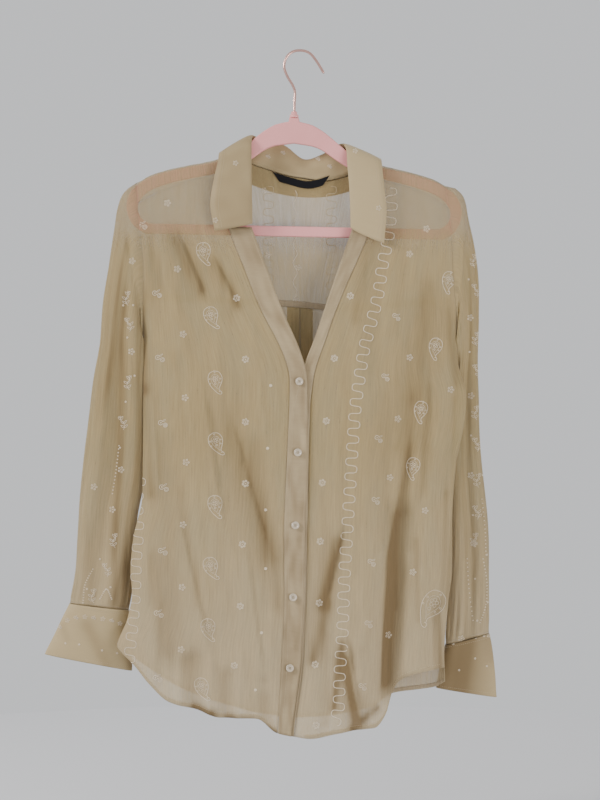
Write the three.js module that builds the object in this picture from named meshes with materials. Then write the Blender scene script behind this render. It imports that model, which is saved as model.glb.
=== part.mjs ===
import * as THREE from 'three';

// Millimetres, +Z up, the front of the blouse faces -Y.
// The origin is the inside top of the hanger's hook, where it rests on a rail.
// "right" and "left" are the wearer's: the right front is on -X.

const panelWall = 1.2;
const bandWall = 2.0;
const collarWall = 1.8;
const seamGap = 0.4;
const sideGap = 0.5;
const armholeGap = 0.75;
const hangerHalf = 4.0;
const hangerBevel = 1.6;
const hangerCentreX = -7.5;
const hangerTilt = 0.021;
const clothOverHanger = 2.2;
const shoulderRadius = 6.0;
const underarmZ = -360;
const armholeDepth = 14;
const lapLift = 2.6;
const wireRadius = 1.7;
const buttonRadius = 5.0;
const buttonThick = 2.2;
const shoulderSeamDrop = 22;
const neckClear = 1.6;
const pleatReach = 30;

const colours = {
  cloth: 0xb7a383,
  band: 0xbfab8b,
  hanger: 0xe4a7a6,
  wire: 0xc8968f,
  button: 0xe4d8c2,
  label: 0x17161a,
};

// Tables have a row for each height, section or fold, and are read with a smooth curve.

// Hanger outline by distance from its centre: top of the arms, its end, and the hole.
const hangerTop = [
  { out: 0, z: -88.7 }, { out: 20, z: -92 }, { out: 40, z: -103 }, { out: 55, z: -115.5 },
  { out: 70, z: -127 }, { out: 96, z: -141 }, { out: 133, z: -149.3 }, { out: 163, z: -156.5 },
  { out: 183, z: -163.5 }, { out: 199, z: -173 },
];
const hangerEnd = [
  { out: 208, z: -183 }, { out: 212.5, z: -197 }, { out: 211, z: -212 }, { out: 203, z: -226 },
  { out: 189, z: -235 },
];
const hangerHole = [
  { out: 0, z: -116.5 }, { out: 30, z: -122 }, { out: 55, z: -138 }, { out: 72, z: -147.5 },
  { out: 96, z: -156 }, { out: 133, z: -164 }, { out: 163, z: -172 }, { out: 184, z: -181 },
  { out: 196, z: -193 }, { out: 198.5, z: -204 }, { out: 194, z: -215 }, { out: 184, z: -222 },
];

// Half depth of the hanging body, front and back, by drop below the shoulder.
const bodyDepth = [
  { drop: 0, front: 6, back: 6 }, { drop: 30, front: 7.8, back: 8.2 },
  { drop: 80, front: 12.5, back: 12 }, { drop: 170, front: 20, back: 19 },
  { drop: 280, front: 27, back: 24 }, { drop: 460, front: 30, back: 27 },
  { drop: 740, front: 28, back: 27 },
];

// Side of the body: the armhole seam above the underarm, the side seam below it.
const sideLine = {
  right: [
    { z: -160, x: 207 }, { z: -180, x: 206 }, { z: -230, x: 202 }, { z: -273, x: 198 },
    { z: -347, x: 199 }, { z: -442, x: 199 }, { z: -563, x: 200 }, { z: -621, x: 212 },
    { z: -659, x: 215 }, { z: -688, x: 213 }, { z: -720, x: 219 }, { z: -755, x: 232 },
    { z: -880, x: 236 },
  ],
  left: [
    { z: -160, x: 184 }, { z: -198, x: 187 }, { z: -230, x: 191 }, { z: -292, x: 194 },
    { z: -347, x: 199 }, { z: -391, x: 200 }, { z: -439, x: 211 }, { z: -479, x: 207 },
    { z: -523, x: 198 }, { z: -607, x: 193 }, { z: -654, x: 193 }, { z: -700, x: 188 },
    { z: -766, x: 183 }, { z: -800, x: 184 }, { z: -880, x: 184 },
  ],
};

// Front bands: the seam to the front, and the folded edge at the opening.
const bandLine = {
  right: [
    { z: -224, seam: -91, edge: -61 }, { z: -315, seam: -55, edge: -27.5 },
    { z: -420, seam: -13, edge: 9 }, { z: -520, seam: -16.5, edge: 10 },
    { z: -613, seam: -20, edge: 6.4 }, { z: -688, seam: -19.5, edge: 5.5 },
    { z: -766, seam: -23, edge: 1.3 }, { z: -843, seam: -27, edge: -8.5 },
    { z: -880, seam: -29, edge: -13 },
  ],
  left: [
    { z: -226, seam: 89, edge: 66 }, { z: -260, seam: 75, edge: 54 },
    { z: -315, seam: 51, edge: 35 }, { z: -361, seam: 34, edge: 19.5 },
    { z: -420, seam: 16, edge: -2 }, { z: -460, seam: 12.5, edge: -10 },
    { z: -613, seam: 9, edge: -16 }, { z: -766, seam: 4, edge: -18 },
    { z: -843, seam: -5.5, edge: -23 }, { z: -880, seam: -9, edge: -25 },
  ],
};

const bandTop = { right: -224, left: -226.5 };

const frontHem = [
  { x: -236, z: -750 }, { x: -229, z: -759 }, { x: -209, z: -778 }, { x: -190, z: -801 },
  { x: -165, z: -823 }, { x: -127, z: -833 }, { x: -99, z: -842 }, { x: -55, z: -843 },
  { x: -30, z: -860 }, { x: -10, z: -865 }, { x: 13, z: -868 }, { x: 48, z: -862 },
  { x: 75, z: -857 }, { x: 94, z: -855 }, { x: 108, z: -838 }, { x: 116, z: -812 },
  { x: 128, z: -795 }, { x: 152, z: -786 }, { x: 186, z: -781 },
];
const backHem = [
  { x: -236, z: -750 }, { x: -200, z: -780 }, { x: -150, z: -812 }, { x: -90, z: -834 },
  { x: 0, z: -850 }, { x: 90, z: -836 }, { x: 120, z: -817 }, { x: 152, z: -812 },
  { x: 172, z: -808 }, { x: 186, z: -799 },
];
const yokeSeam = [
  { x: -210, z: -314 }, { x: 0, z: -324 }, { x: 40, z: -328 }, { x: 210, z: -318 },
];

// Neck seam laid flat over the shoulder: h is the way down from the ridge, front negative.
const neckSeam = [
  { x: -90.8, h: -96 }, { x: -90.8, h: -72 }, { x: -90.2, h: -46 }, { x: -88, h: -24 },
  { x: -86.5, h: -11 }, { x: -84, h: 0 }, { x: -78, h: 10 }, { x: -62, h: 20 },
  { x: -32, h: 24 }, { x: 0, h: 27 }, { x: 32, h: 31 }, { x: 62, h: 24 },
  { x: 77, h: 11 }, { x: 83.5, h: 0 }, { x: 85.8, h: -11 }, { x: 87.5, h: -24 },
  { x: 88.8, h: -45 }, { x: 88.8, h: -66 }, { x: 88.8, h: -88 },
];
// Collar stations on the neck seam's rows: the roll line and the free edge.
const collarLines = [
  { rx: -60.5, ry: -18.5, rz: -219.5, ex: -107.5, ey: -21, ez: -229 },
  { rx: -61, ry: -19, rz: -197, ex: -113, ey: -20.5, ez: -196 },
  { rx: -61.5, ry: -18, rz: -165, ex: -108.5, ey: -17.5, ez: -163 },
  { rx: -62, ry: -14, rz: -135, ex: -104, ey: -14, ez: -143 },
  { rx: -62, ry: -8, rz: -115, ex: -102.5, ey: -8, ez: -131.5 },
  { rx: -61, ry: 0, rz: -107, ex: -101.5, ey: 1, ez: -129.5 },
  { rx: -55, ry: 9, rz: -107.5, ex: -97, ey: 12, ez: -138.5 },
  { rx: -40, ry: 14.5, rz: -110, ex: -76, ey: 14.5, ez: -160 },
  { rx: -18, ry: 17.5, rz: -118.5, ex: -38, ey: 16, ez: -176 },
  { rx: 5, ry: 18.5, rz: -135, ex: 0, ey: 16.5, ez: -183 },
  { rx: 28, ry: 17.5, rz: -129, ex: 38, ey: 16, ez: -182 },
  { rx: 44, ry: 14, rz: -119, ex: 74, ey: 14.5, ez: -171 },
  { rx: 52, ry: 9, rz: -116.5, ex: 97, ey: 12, ez: -149 },
  { rx: 57, ry: 1.5, rz: -118.5, ex: 101.5, ey: 1.5, ez: -137.5 },
  { rx: 59.5, ry: -7.5, rz: -126, ex: 103, ey: -8, ez: -139.5 },
  { rx: 60.5, ry: -13.5, rz: -145, ex: 104, ey: -14, ez: -151 },
  { rx: 62.5, ry: -18, rz: -170, ex: 106, ey: -18, ez: -172 },
  { rx: 64, ry: -19, rz: -200, ex: 109, ey: -20.5, ez: -205 },
  { rx: 64.5, ry: -18.5, rz: -225, ex: 106, ey: -21.5, ez: -245 },
];

// Sleeve stations: outer and inner fold, the middle's depth, half depths, hollow of the long fold.
const sleeveStations = {
  right: [
    { ox: -217.5, oz: -173.2, ix: -202.4, iz: -361, y: 0, front: 13, back: 13, hollow: 0 },
    { ox: -226, oz: -183.5, ix: -203, iz: -362.5, y: 0, front: 13.5, back: 13.5, hollow: 0 },
    { ox: -230.5, oz: -198, ix: -203.8, iz: -364.5, y: 0, front: 14, back: 14, hollow: 0 },
    { ox: -235, oz: -226, ix: -204.5, iz: -369, y: 0.5, front: 14.5, back: 14.5, hollow: 1 },
    { ox: -241, oz: -264, ix: -205, iz: -376, y: 1.5, front: 15, back: 15, hollow: 3 },
    { ox: -249, oz: -315, ix: -205, iz: -390, y: 3, front: 16, back: 16, hollow: 5 },
    { ox: -254, oz: -366, ix: -204, iz: -412, y: 5, front: 16, back: 16, hollow: 8 },
    { ox: -262, oz: -417, ix: -203, iz: -448, y: 7, front: 16, back: 16, hollow: 10 },
    { ox: -268.5, oz: -470, ix: -203.5, iz: -495, y: 9, front: 16, back: 16, hollow: 10 },
    { ox: -275.6, oz: -528, ix: -207, iz: -547, y: 12, front: 16, back: 16, hollow: 10 },
    { ox: -281, oz: -575, ix: -214, iz: -588, y: 15, front: 16, back: 16, hollow: 9 },
    { ox: -284, oz: -620, ix: -216, iz: -628, y: 18, front: 15, back: 15, hollow: 8 },
    { ox: -287, oz: -662, ix: -216.5, iz: -668, y: 20.5, front: 14, back: 15, hollow: 6 },
    { ox: -294.3, oz: -702, ix: -219.4, iz: -710.5, y: 23, front: 13, back: 14, hollow: 3 },
  ],
  left: [
    { ox: 197, oz: -173.5, ix: 202.4, iz: -361, y: 0, front: 13, back: 13, hollow: 0 },
    { ox: 205.5, oz: -182, ix: 203, iz: -362.5, y: 0, front: 13.5, back: 13.5, hollow: 0 },
    { ox: 210, oz: -194, ix: 203.8, iz: -364.5, y: 0.5, front: 14, back: 14, hollow: 0 },
    { ox: 213.5, oz: -214, ix: 204.6, iz: -368, y: 1, front: 14, back: 14.5, hollow: 1 },
    { ox: 221, oz: -246, ix: 205.5, iz: -374, y: 3, front: 13, back: 15, hollow: 2 },
    { ox: 225.5, oz: -290, ix: 207, iz: -384, y: 6, front: 12, back: 15, hollow: 3 },
    { ox: 226.5, oz: -340, ix: 209.5, iz: -400, y: 12, front: 10, back: 16, hollow: 4 },
    { ox: 226.3, oz: -391, ix: 207, iz: -435, y: 18, front: 8, back: 16, hollow: 5 },
    { ox: 228, oz: -440, ix: 205, iz: -480, y: 22, front: 8, back: 16, hollow: 5 },
    { ox: 230, oz: -500, ix: 202, iz: -535, y: 23, front: 9, back: 16, hollow: 6 },
    { ox: 236, oz: -560, ix: 199, iz: -590, y: 23, front: 10, back: 16, hollow: 6 },
    { ox: 240.5, oz: -615, ix: 197, iz: -640, y: 23, front: 11, back: 16, hollow: 6 },
    { ox: 241, oz: -675, ix: 193, iz: -697, y: 23.5, front: 12, back: 15, hollow: 5 },
    { ox: 241.8, oz: -740.5, ix: 186.8, iz: -755, y: 24, front: 12, back: 14, hollow: 3 },
  ],
};
const cuffStations = {
  right: [
    { ox: -294.6, oz: -702.7, ix: -219.6, iz: -711.3, y: 23, front: 13, back: 14 },
    { ox: -302, oz: -718, ix: -218.2, iz: -730, y: 23.5, front: 12, back: 13 },
    { ox: -311, oz: -737, ix: -217, iz: -752, y: 24, front: 10.5, back: 11 },
    { ox: -319, oz: -753, ix: -216.2, iz: -771, y: 24, front: 9, back: 9 },
    { ox: -326.4, oz: -768, ix: -216, iz: -789, y: 24, front: 7.5, back: 7.5 },
  ],
  left: [
    { ox: 242, oz: -741.2, ix: 186.6, iz: -755.8, y: 24, front: 12, back: 14 },
    { ox: 246, oz: -760, ix: 183.5, iz: -769, y: 24.5, front: 11, back: 12.5 },
    { ox: 248.5, oz: -781, ix: 180, iz: -783, y: 25, front: 10, back: 11 },
    { ox: 250.3, oz: -802, ix: 177.3, iz: -797, y: 25, front: 8.5, back: 9 },
    { ox: 251.5, oz: -823, ix: 175, iz: -811, y: 25, front: 7.5, back: 7.5 },
  ],
};

// Soft folds of the front and back: a line down the cloth, its width, and its rise or dip.
const frontFolds = [
  { x0: -155, z0: -234, x1: -126, z1: -306, width: 15, rise: -5 },
  { x0: -108, z0: -276, x1: -82, z1: -325, width: 13, rise: -4 },
  { x0: -172, z0: -250, x1: -150, z1: -370, width: 16, rise: 4 },
  { x0: -89, z0: -470, x1: -36, z1: -645, width: 20, rise: -5 },
  { x0: -128, z0: -430, x1: -112, z1: -700, width: 22, rise: 4 },
  { x0: -168, z0: -500, x1: -150, z1: -770, width: 18, rise: -5 },
  { x0: -60, z0: -660, x1: -48, z1: -800, width: 15, rise: 4 },
  { x0: -134, z0: -770, x1: -133, z1: -835, width: 12, rise: -6 },
  { x0: -92, z0: -790, x1: -92, z1: -845, width: 10, rise: -5 },
  { x0: -46, z0: -800, x1: -42, z1: -855, width: 10, rise: -6 },
  { x0: 158, z0: -330, x1: 136, z1: -500, width: 24, rise: -6 },
  { x0: 128, z0: -590, x1: 112, z1: -800, width: 20, rise: -12 },
  { x0: 168, z0: -540, x1: 152, z1: -780, width: 16, rise: 4 },
  { x0: 86, z0: -420, x1: 76, z1: -800, width: 20, rise: 5 },
  { x0: 47, z0: -620, x1: 24, z1: -765, width: 14, rise: -4 },
  { x0: 55, z0: -770, x1: 68, z1: -855, width: 12, rise: -6 },
  { x0: 108, z0: -230, x1: 92, z1: -420, width: 16, rise: -4 },
];
const backFolds = [
  { x0: -150, z0: -400, x1: -132, z1: -700, width: 24, rise: -5 },
  { x0: -96, z0: -380, x1: -84, z1: -800, width: 20, rise: 5 },
  { x0: -58, z0: -560, x1: -62, z1: -840, width: 16, rise: -6 },
  { x0: 62, z0: -420, x1: 70, z1: -830, width: 18, rise: -6 },
  { x0: 104, z0: -360, x1: 110, z1: -760, width: 20, rise: 5 },
  { x0: 150, z0: -430, x1: 142, z1: -780, width: 22, rise: -5 },
];

// Box pleat below the yoke: across the cloth, and the layer it lies in.
const pleatFold = [
  { x: -30, y: 0 }, { x: -14, y: 0 }, { x: -3, y: 0 }, { x: -1.3, y: 1.3 }, { x: -3, y: 2.6 },
  { x: -14.5, y: 2.6 }, { x: -16.3, y: 3.9 }, { x: -14.5, y: 5.2 }, { x: 0, y: 5.6 },
  { x: 14.5, y: 5.2 }, { x: 16.3, y: 3.9 }, { x: 14.5, y: 2.6 }, { x: 3, y: 2.6 },
  { x: 1.3, y: 1.3 }, { x: 3, y: 0 }, { x: 14, y: 0 }, { x: 30, y: 0 },
];

const hookPath = [
  { x: -7.5, z: -83.6 }, { x: -7, z: -66 }, { x: -6.6, z: -50 }, { x: -9.6, z: -42 },
  { x: -15.6, z: -32 }, { x: -20, z: -20 }, { x: -18.6, z: -10.4 }, { x: -13.6, z: -3 },
  { x: -7, z: 0.8 }, { x: 0, z: 1.7 }, { x: 7.4, z: 0.6 }, { x: 14, z: -3.2 },
  { x: 19.6, z: -10 }, { x: 25.5, z: -19 }, { x: 30.4, z: -27.6 },
];
const buttonSpots = [
  { name: 'button_1', x: -0.8, z: -419 }, { name: 'button_2', x: -2.7, z: -508 },
  { name: 'button_3', x: -5.8, z: -599.4 }, { name: 'button_4', x: -8.6, z: -689.6 },
  { name: 'button_5', x: -12.6, z: -778.5 },
];

function clamp(value, low, high) {
  return Math.min(Math.max(value, low), high);
}

function ease(value) {
  const t = clamp(value, 0, 1);
  return t * t * (3 - 2 * t);
}

function mix(a, b, t) {
  return a + (b - a) * t;
}

// Reads one column of a table at a place of another with a curve that never overshoots.
function read(rows, key, column, at) {
  const up = rows[rows.length - 1][key] > rows[0][key] ? 1 : -1;
  const last = rows.length - 1;
  if ((at - rows[0][key]) * up <= 0) return rows[0][column];
  if ((at - rows[last][key]) * up >= 0) return rows[last][column];
  let i = 0;
  while ((at - rows[i + 1][key]) * up > 0) i += 1;
  const slope = (k) => (rows[k + 1][column] - rows[k][column]) / (rows[k + 1][key] - rows[k][key]);
  const tangent = (k) => {
    if (k === 0) return slope(0);
    if (k === last) return slope(last - 1);
    const a = slope(k - 1);
    const b = slope(k);
    return a * b <= 0 ? 0 : (2 * a * b) / (a + b);
  };
  const span = rows[i + 1][key] - rows[i][key];
  const t = (at - rows[i][key]) / span;
  const t2 = t * t;
  const t3 = t2 * t;
  return rows[i][column] * (2 * t3 - 3 * t2 + 1)
    + tangent(i) * span * (t3 - 2 * t2 + t)
    + rows[i + 1][column] * (3 * t2 - 2 * t3)
    + tangent(i + 1) * span * (t3 - t2);
}

// Reads columns of a table at an even share of its rows, with a rounded curve.
function station(rows, columns, share) {
  const at = clamp(share, 0, 1) * (rows.length - 1);
  const i = Math.min(Math.floor(at), rows.length - 2);
  const t = at - i;
  const row = {};
  for (const column of columns) {
    const b = rows[i][column];
    const c = rows[i + 1][column];
    const a = i > 0 ? rows[i - 1][column] : 2 * b - c;
    const d = i + 2 < rows.length ? rows[i + 2][column] : 2 * c - b;
    row[column] = b + 0.5 * t * (c - a + t * (2 * a - 5 * b + 4 * c - d
      + t * (3 * (b - c) + d - a)));
  }
  return row;
}

function hangerTopZ(x) {
  const out = x - hangerCentreX;
  return read(hangerTop, 'out', 'z', Math.abs(out)) - out * hangerTilt;
}

// Ridge of the cloth over the arms; between the arms it is only a level to measure from.
const ridgeOuts = [80, 90, 104, 120, 140, 155, 170, 186, 196, 206, 215];
const ridgeRow = (x) => ({ x, z: hangerTopZ(x) + clothOverHanger
  + 2.6 * Math.exp(-(((Math.abs(x) - 85) / 14) ** 2)) });
const ridgeRows = ridgeOuts.map((out) => ridgeRow(-out)).reverse()
  .concat([{ x: 0, z: -135 }], ridgeOuts.map(ridgeRow));

function ridgeZ(x) {
  return read(ridgeRows, 'x', 'z', x);
}

function sideX(side, z) {
  return read(sideLine[side], 'z', 'x', z) * (side === 'right' ? -1 : 1);
}

function sideOf(x) {
  return x < 0 ? 'right' : 'left';
}

// Half depth of the armhole loop, closing to nothing at the underarm.
function armholeHalf(side, z) {
  const top = ridgeZ(sideX(side, -170)) - shoulderRadius;
  const share = clamp((top - z) / (top - underarmZ), 0, 1);
  const open = shoulderRadius + (armholeDepth - shoulderRadius) * Math.sin(Math.PI * share ** 0.8);
  return sideGap + (open - sideGap) * Math.sqrt(1 - share ** 5);
}

function foldRise(folds, x, z) {
  let rise = 0;
  for (const fold of folds) {
    const dx = fold.x1 - fold.x0;
    const dz = fold.z1 - fold.z0;
    const t = clamp(((x - fold.x0) * dx + (z - fold.z0) * dz) / (dx * dx + dz * dz), 0, 1);
    const away = Math.hypot(x - fold.x0 - dx * t, z - fold.z0 - dz * t) / fold.width;
    rise += fold.rise * Math.exp(-away * away);
  }
  return rise;
}

// Distance of the cloth's middle from the plane of the hanger.
function bodyHalf(face, x, z) {
  const side = sideOf(x);
  const across = clamp(Math.abs(x / sideX(side, z)), 0, 1);
  const drop = Math.max(ridgeZ(x) - shoulderRadius - z, 0);
  const middle = read(bodyDepth, 'drop', face, drop);
  const atSide = armholeHalf(side, z);
  const power = mix(0.5, 1, ease((z - underarmZ) / 70));
  const round = (1 - across ** 2.4) ** power;
  const calm = (1 - across ** 6) * ease(drop / 60);
  const rise = foldRise(face === 'front' ? frontFolds : backFolds, x, z);
  const ripple = 1.6 * ease((-690 - z) / 140) * Math.sin(x / 11 + 1.7 * Math.sin(x / 47));
  return atSide + (middle - atSide) * round + (rise + ripple) * calm;
}

// Right front and its band lie over the left ones below the opening.
function lapOver(x, z) {
  const toSeam = read(bandLine.right, 'z', 'seam', z) - x;
  return lapLift * ease((-330 - z) / 70) * (1 - ease(toSeam / 70));
}

function frontPoint(x, z, lap) {
  const clear = z > -240 ? hangerHalf + 2 : 0;
  const half = Math.max(bodyHalf('front', x, z), Math.min(clear, armholeHalf(sideOf(x), z)));
  return new THREE.Vector3(x, -half - (lap ? lapOver(x, z) : 0), z);
}

function backPoint(x, z) {
  return new THREE.Vector3(x, bodyHalf('back', x, z), z);
}

// A place on the shoulder cloth from its flat measure: h is the way down from the ridge.
function overShoulder(x, h) {
  const quarter = (shoulderRadius * Math.PI) / 2;
  const ridge = ridgeZ(x);
  if (Math.abs(h) <= quarter) {
    const turn = h / shoulderRadius;
    return new THREE.Vector3(
      x,
      shoulderRadius * Math.sin(turn),
      ridge - shoulderRadius + shoulderRadius * Math.cos(turn),
    );
  }
  const z = ridge - shoulderRadius - (Math.abs(h) - quarter);
  return h < 0 ? frontPoint(x, z, false) : backPoint(x, z);
}

function shoulderSeamH(x) {
  return -(shoulderSeamDrop + 9 * clamp((Math.abs(x) - 108) / 80, 0, 1) ** 2);
}

function shoulderSeamZ(x) {
  const quarter = (shoulderRadius * Math.PI) / 2;
  return ridgeZ(x) - shoulderRadius - (-shoulderSeamH(x) - quarter);
}

// Rows of middle points become a closed wall; a ring closes on itself along each row.
function wallMesh(name, rows, wall, colour, ring) {
  const down = rows.length;
  const across = rows[0].length;
  const at = (i, j) => rows[clamp(i, 0, down - 1)][ring ? (j + across) % across
    : clamp(j, 0, across - 1)];
  const positions = [];
  for (const side of [0.5, -0.5]) {
    for (let i = 0; i < down; i += 1) {
      for (let j = 0; j < across; j += 1) {
        const alongRow = at(i, j + 1).clone().sub(at(i, j - 1)).normalize();
        const alongColumn = at(i + 1, j).clone().sub(at(i - 1, j)).normalize();
        const normal = alongRow.cross(alongColumn).normalize();
        const point = at(i, j).clone().addScaledVector(normal, side * wall);
        positions.push(point.x, point.y, point.z);
      }
    }
  }
  const half = down * across;
  const index = [];
  const quad = (a, b, c, d) => index.push(a, b, c, a, c, d);
  const columns = ring ? across : across - 1;
  for (let i = 0; i < down - 1; i += 1) {
    for (let j = 0; j < columns; j += 1) {
      const k = (j + 1) % across;
      const a = i * across + j;
      const b = i * across + k;
      const c = (i + 1) * across + k;
      const d = (i + 1) * across + j;
      quad(a, b, c, d);
      quad(half + a, half + d, half + c, half + b);
    }
  }
  for (let j = 0; j < columns; j += 1) {
    const k = (j + 1) % across;
    const low = (down - 1) * across;
    quad(k, j, half + j, half + k);
    quad(low + j, low + k, half + low + k, half + low + j);
  }
  if (!ring) {
    for (let i = 0; i < down - 1; i += 1) {
      const a = i * across;
      const b = (i + 1) * across;
      const end = across - 1;
      quad(a, b, half + b, half + a);
      quad(b + end, a + end, half + a + end, half + b + end);
    }
  }
  if (signedVolume(positions, index) < 0) {
    for (let i = 0; i < index.length; i += 3) {
      [index[i], index[i + 1]] = [index[i + 1], index[i]];
    }
  }
  const geometry = new THREE.BufferGeometry();
  geometry.setAttribute('position', new THREE.Float32BufferAttribute(positions, 3));
  geometry.setIndex(index);
  return namedMesh(name, geometry, colour);
}

function signedVolume(positions, index) {
  const corner = (i) => new THREE.Vector3().fromArray(positions, index[i] * 3);
  let volume = 0;
  for (let i = 0; i < index.length; i += 3) {
    volume += corner(i).dot(corner(i + 1).cross(corner(i + 2)));
  }
  return volume / 6;
}

function namedMesh(name, geometry, colour) {
  geometry.computeVertexNormals();
  const material = new THREE.MeshStandardMaterial({ color: colour, roughness: 0.8 });
  const mesh = new THREE.Mesh(geometry, material);
  mesh.name = name;
  return mesh;
}

function grid(down, across, place) {
  const rows = [];
  for (let i = 0; i <= down; i += 1) {
    const row = [];
    for (let j = 0; j <= across; j += 1) row.push(place(i / down, j / across));
    rows.push(row);
  }
  return rows;
}

function frontInner(side, z) {
  const sign = side === 'right' ? -1 : 1;
  return read(bandLine[side], 'z', 'seam', z) + seamGap * 2.2 * sign;
}

function frontPanel(side) {
  const down = 22;
  const neckRows = 2;
  const cornerX = frontInner(side, bandTop[side]);
  const cornerTop = shoulderSeamZ(cornerX) - seamGap * 2.2;
  const corner = (bandTop[side] - cornerTop) / (read(frontHem, 'x', 'z', cornerX) - cornerTop);
  const place = (rowShare, u) => {
    const i = Math.round(rowShare * down);
    const v = i <= neckRows ? (corner * i) / neckRows
      : mix(corner, 1, (i - neckRows) / (down - neckRows));
    const share = 1 - (1 - u) ** 1.6;
    let x = sideX(side, -300) * (0.3 + 0.7 * share);
    let z = 0;
    for (let step = 0; step < 24; step += 1) {
      const top = shoulderSeamZ(x) - seamGap * 2.2;
      z = mix(top, read(frontHem, 'x', 'z', x), v);
      x = mix(frontInner(side, z), sideX(side, z), share);
    }
    return frontPoint(x, z, side === 'right');
  };
  return wallMesh(`${side}_front`, grid(down, 14, place), panelWall, colours.cloth, false);
}

function bandPoint(side, z, share) {
  const row = bandLine[side];
  const x = mix(read(row, 'z', 'seam', z), read(row, 'z', 'edge', z), share);
  const point = frontPoint(x, z, false);
  if (side === 'right') point.y -= lapLift * ease((-330 - z) / 70);
  return point;
}

function frontBand(side) {
  const place = (v, u) => {
    const low = read(frontHem, 'x', 'z', bandPoint(side, -860, u).x);
    return bandPoint(side, mix(bandTop[side], low, v), u);
  };
  return wallMesh(`${side}_band`, grid(28, 3, place), bandWall, colours.band, false);
}

function backPanel() {
  const sideCount = 9;
  const bodyShare = (step) => 1 - (1 - step / sideCount) ** 1.6;
  const line = (v, x, give) => {
    let z = 0;
    let at = x;
    for (let step = 0; step < 16; step += 1) {
      z = mix(read(yokeSeam, 'x', 'z', at) - seamGap * 1.5, read(backHem, 'x', 'z', at), v);
      at = give(z);
    }
    return backPoint(at, z);
  };
  const rows = [];
  const down = 17;
  for (let i = 0; i <= down; i += 1) {
    const v = i / down;
    const row = [];
    for (let step = sideCount; step > 0; step -= 1) {
      const share = bodyShare(step);
      row.push(line(v, -100, (z) => mix(-pleatReach, sideX('right', z), share)));
    }
    const open = 0.9 * ease((v - 0.04) / 0.9);
    const last = pleatFold.length - 1;
    pleatFold.forEach((fold, index) => {
      const flat = mix(-pleatReach, pleatReach, index / last);
      const swell = 9 * Math.sin((Math.PI * index) / last) ** 2;
      const x = mix(fold.x, flat, open);
      const base = line(v, 0, () => x);
      row.push(new THREE.Vector3(x, base.y + mix(fold.y, swell, open), base.z));
    });
    for (let step = 1; step <= sideCount; step += 1) {
      const share = bodyShare(step);
      row.push(line(v, 100, (z) => mix(pleatReach, sideX('left', z), share)));
    }
    rows.push(row);
  }
  return wallMesh('back', rows, panelWall, colours.cloth, false);
}

// The flat outline of the yoke's upper edge, from armhole over both shoulders to armhole.
function yokeUpper() {
  const shoulder = (side) => {
    const sign = side === 'right' ? -1 : 1;
    const outer = sideX(side, -195) * sign;
    return [outer, 180, 158, 136, 116, 100, 93, 90.2].map(
      (out) => ({ x: out * sign, h: shoulderSeamH(out) }),
    );
  };
  const over = [];
  neckSeam.forEach((row, index) => {
    if (row.h < -20) return;
    const wayX = neckSeam[index + 1].x - neckSeam[index - 1].x;
    const wayH = neckSeam[index + 1].h - neckSeam[index - 1].h;
    const length = Math.hypot(wayX, wayH);
    over.push({
      x: row.x - (wayH / length) * neckClear,
      h: row.h + (wayX / length) * neckClear,
    });
  });
  return shoulder('right').concat(over, shoulder('left').reverse());
}

function yoke() {
  const upper = yokeUpper();
  const levels = [-40, -12, -9.4, -6.3, -3.1, 0, 3.1, 6.3, 9.4, 15, 35, 65, 95, 125, 155, 400];
  const leastStep = 2.2;
  const backH = (x) => ridgeZ(x) - shoulderRadius - read(yokeSeam, 'x', 'z', x)
    + (shoulderRadius * Math.PI) / 2;
  const lineAt = (u, level) => {
    const from = station(upper, ['x', 'h'], u);
    const toX = mix(sideX('right', -318), sideX('left', -318), u);
    return { x: mix(from.x, toX, level), h: mix(from.h, backH(toX), level) };
  };
  const levelAt = (u, index) => {
    const from = lineAt(u, 0).h;
    const to = lineAt(u, 1).h;
    const h = clamp(levels[index], from + leastStep * index, to);
    return (h - from) / (to - from);
  };
  const toSide = (side, index) => {
    const u = side === 'right' ? 0 : 1;
    const flat = lineAt(u, levelAt(u, index));
    return sideX(side, overShoulder(flat.x, flat.h).z) - flat.x;
  };
  const across = 30;
  const rows = levels.map((level, index) => {
    const row = [];
    for (let j = 0; j <= across; j += 1) {
      const u = j / across;
      const flat = lineAt(u, levelAt(u, index));
      const x = flat.x + toSide('right', index) * (1 - u) ** 6 + toSide('left', index) * u ** 6;
      row.push(overShoulder(x, flat.h));
    }
    return row;
  });
  return wallMesh('back_yoke', rows, panelWall, colours.cloth, false);
}

function collar() {
  const rollRadius = 2.8;
  const across = 32;
  const rows = [];
  const place = (u) => {
    const flat = station(neckSeam, ['x', 'h'], u);
    const line = station(collarLines, ['rx', 'ry', 'rz', 'ex', 'ey', 'ez'], u);
    const neck = overShoulder(flat.x, flat.h);
    const roll = new THREE.Vector3(line.rx, line.ry, line.rz);
    const edge = new THREE.Vector3(line.ex, line.ey, line.ez);
    const toNeck = neck.clone().sub(roll).normalize();
    const toEdge = edge.clone().sub(roll).normalize();
    const apart = toEdge.clone().addScaledVector(toNeck, -toEdge.dot(toNeck)).normalize();
    const inner = roll.clone().addScaledVector(toNeck, rollRadius * 1.5)
      .addScaledVector(apart, -rollRadius * 0.8);
    const outer = roll.clone().addScaledVector(toEdge, rollRadius * 1.5)
      .addScaledVector(apart, rollRadius * 0.8);
    const leaf = outer.clone().lerp(edge, 0.5).addScaledVector(apart, 1.2);
    const stand = neck.clone().lerp(inner, 0.5);
    const curve = new THREE.CatmullRomCurve3(
      [neck, stand, inner, roll, outer, leaf, edge],
      false,
      'centripetal',
    );
    const controls = [0, 0.7, 1.4, 2, 2.4, 2.7, 3, 3.3, 3.6, 4, 4.6, 5.3, 6];
    return controls.map((control) => curve.getPoint(control / 6));
  };
  for (let j = 0; j <= across; j += 1) rows.push(place(j / across));
  return wallMesh('collar', rows, collarWall, colours.band, false);
}

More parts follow.
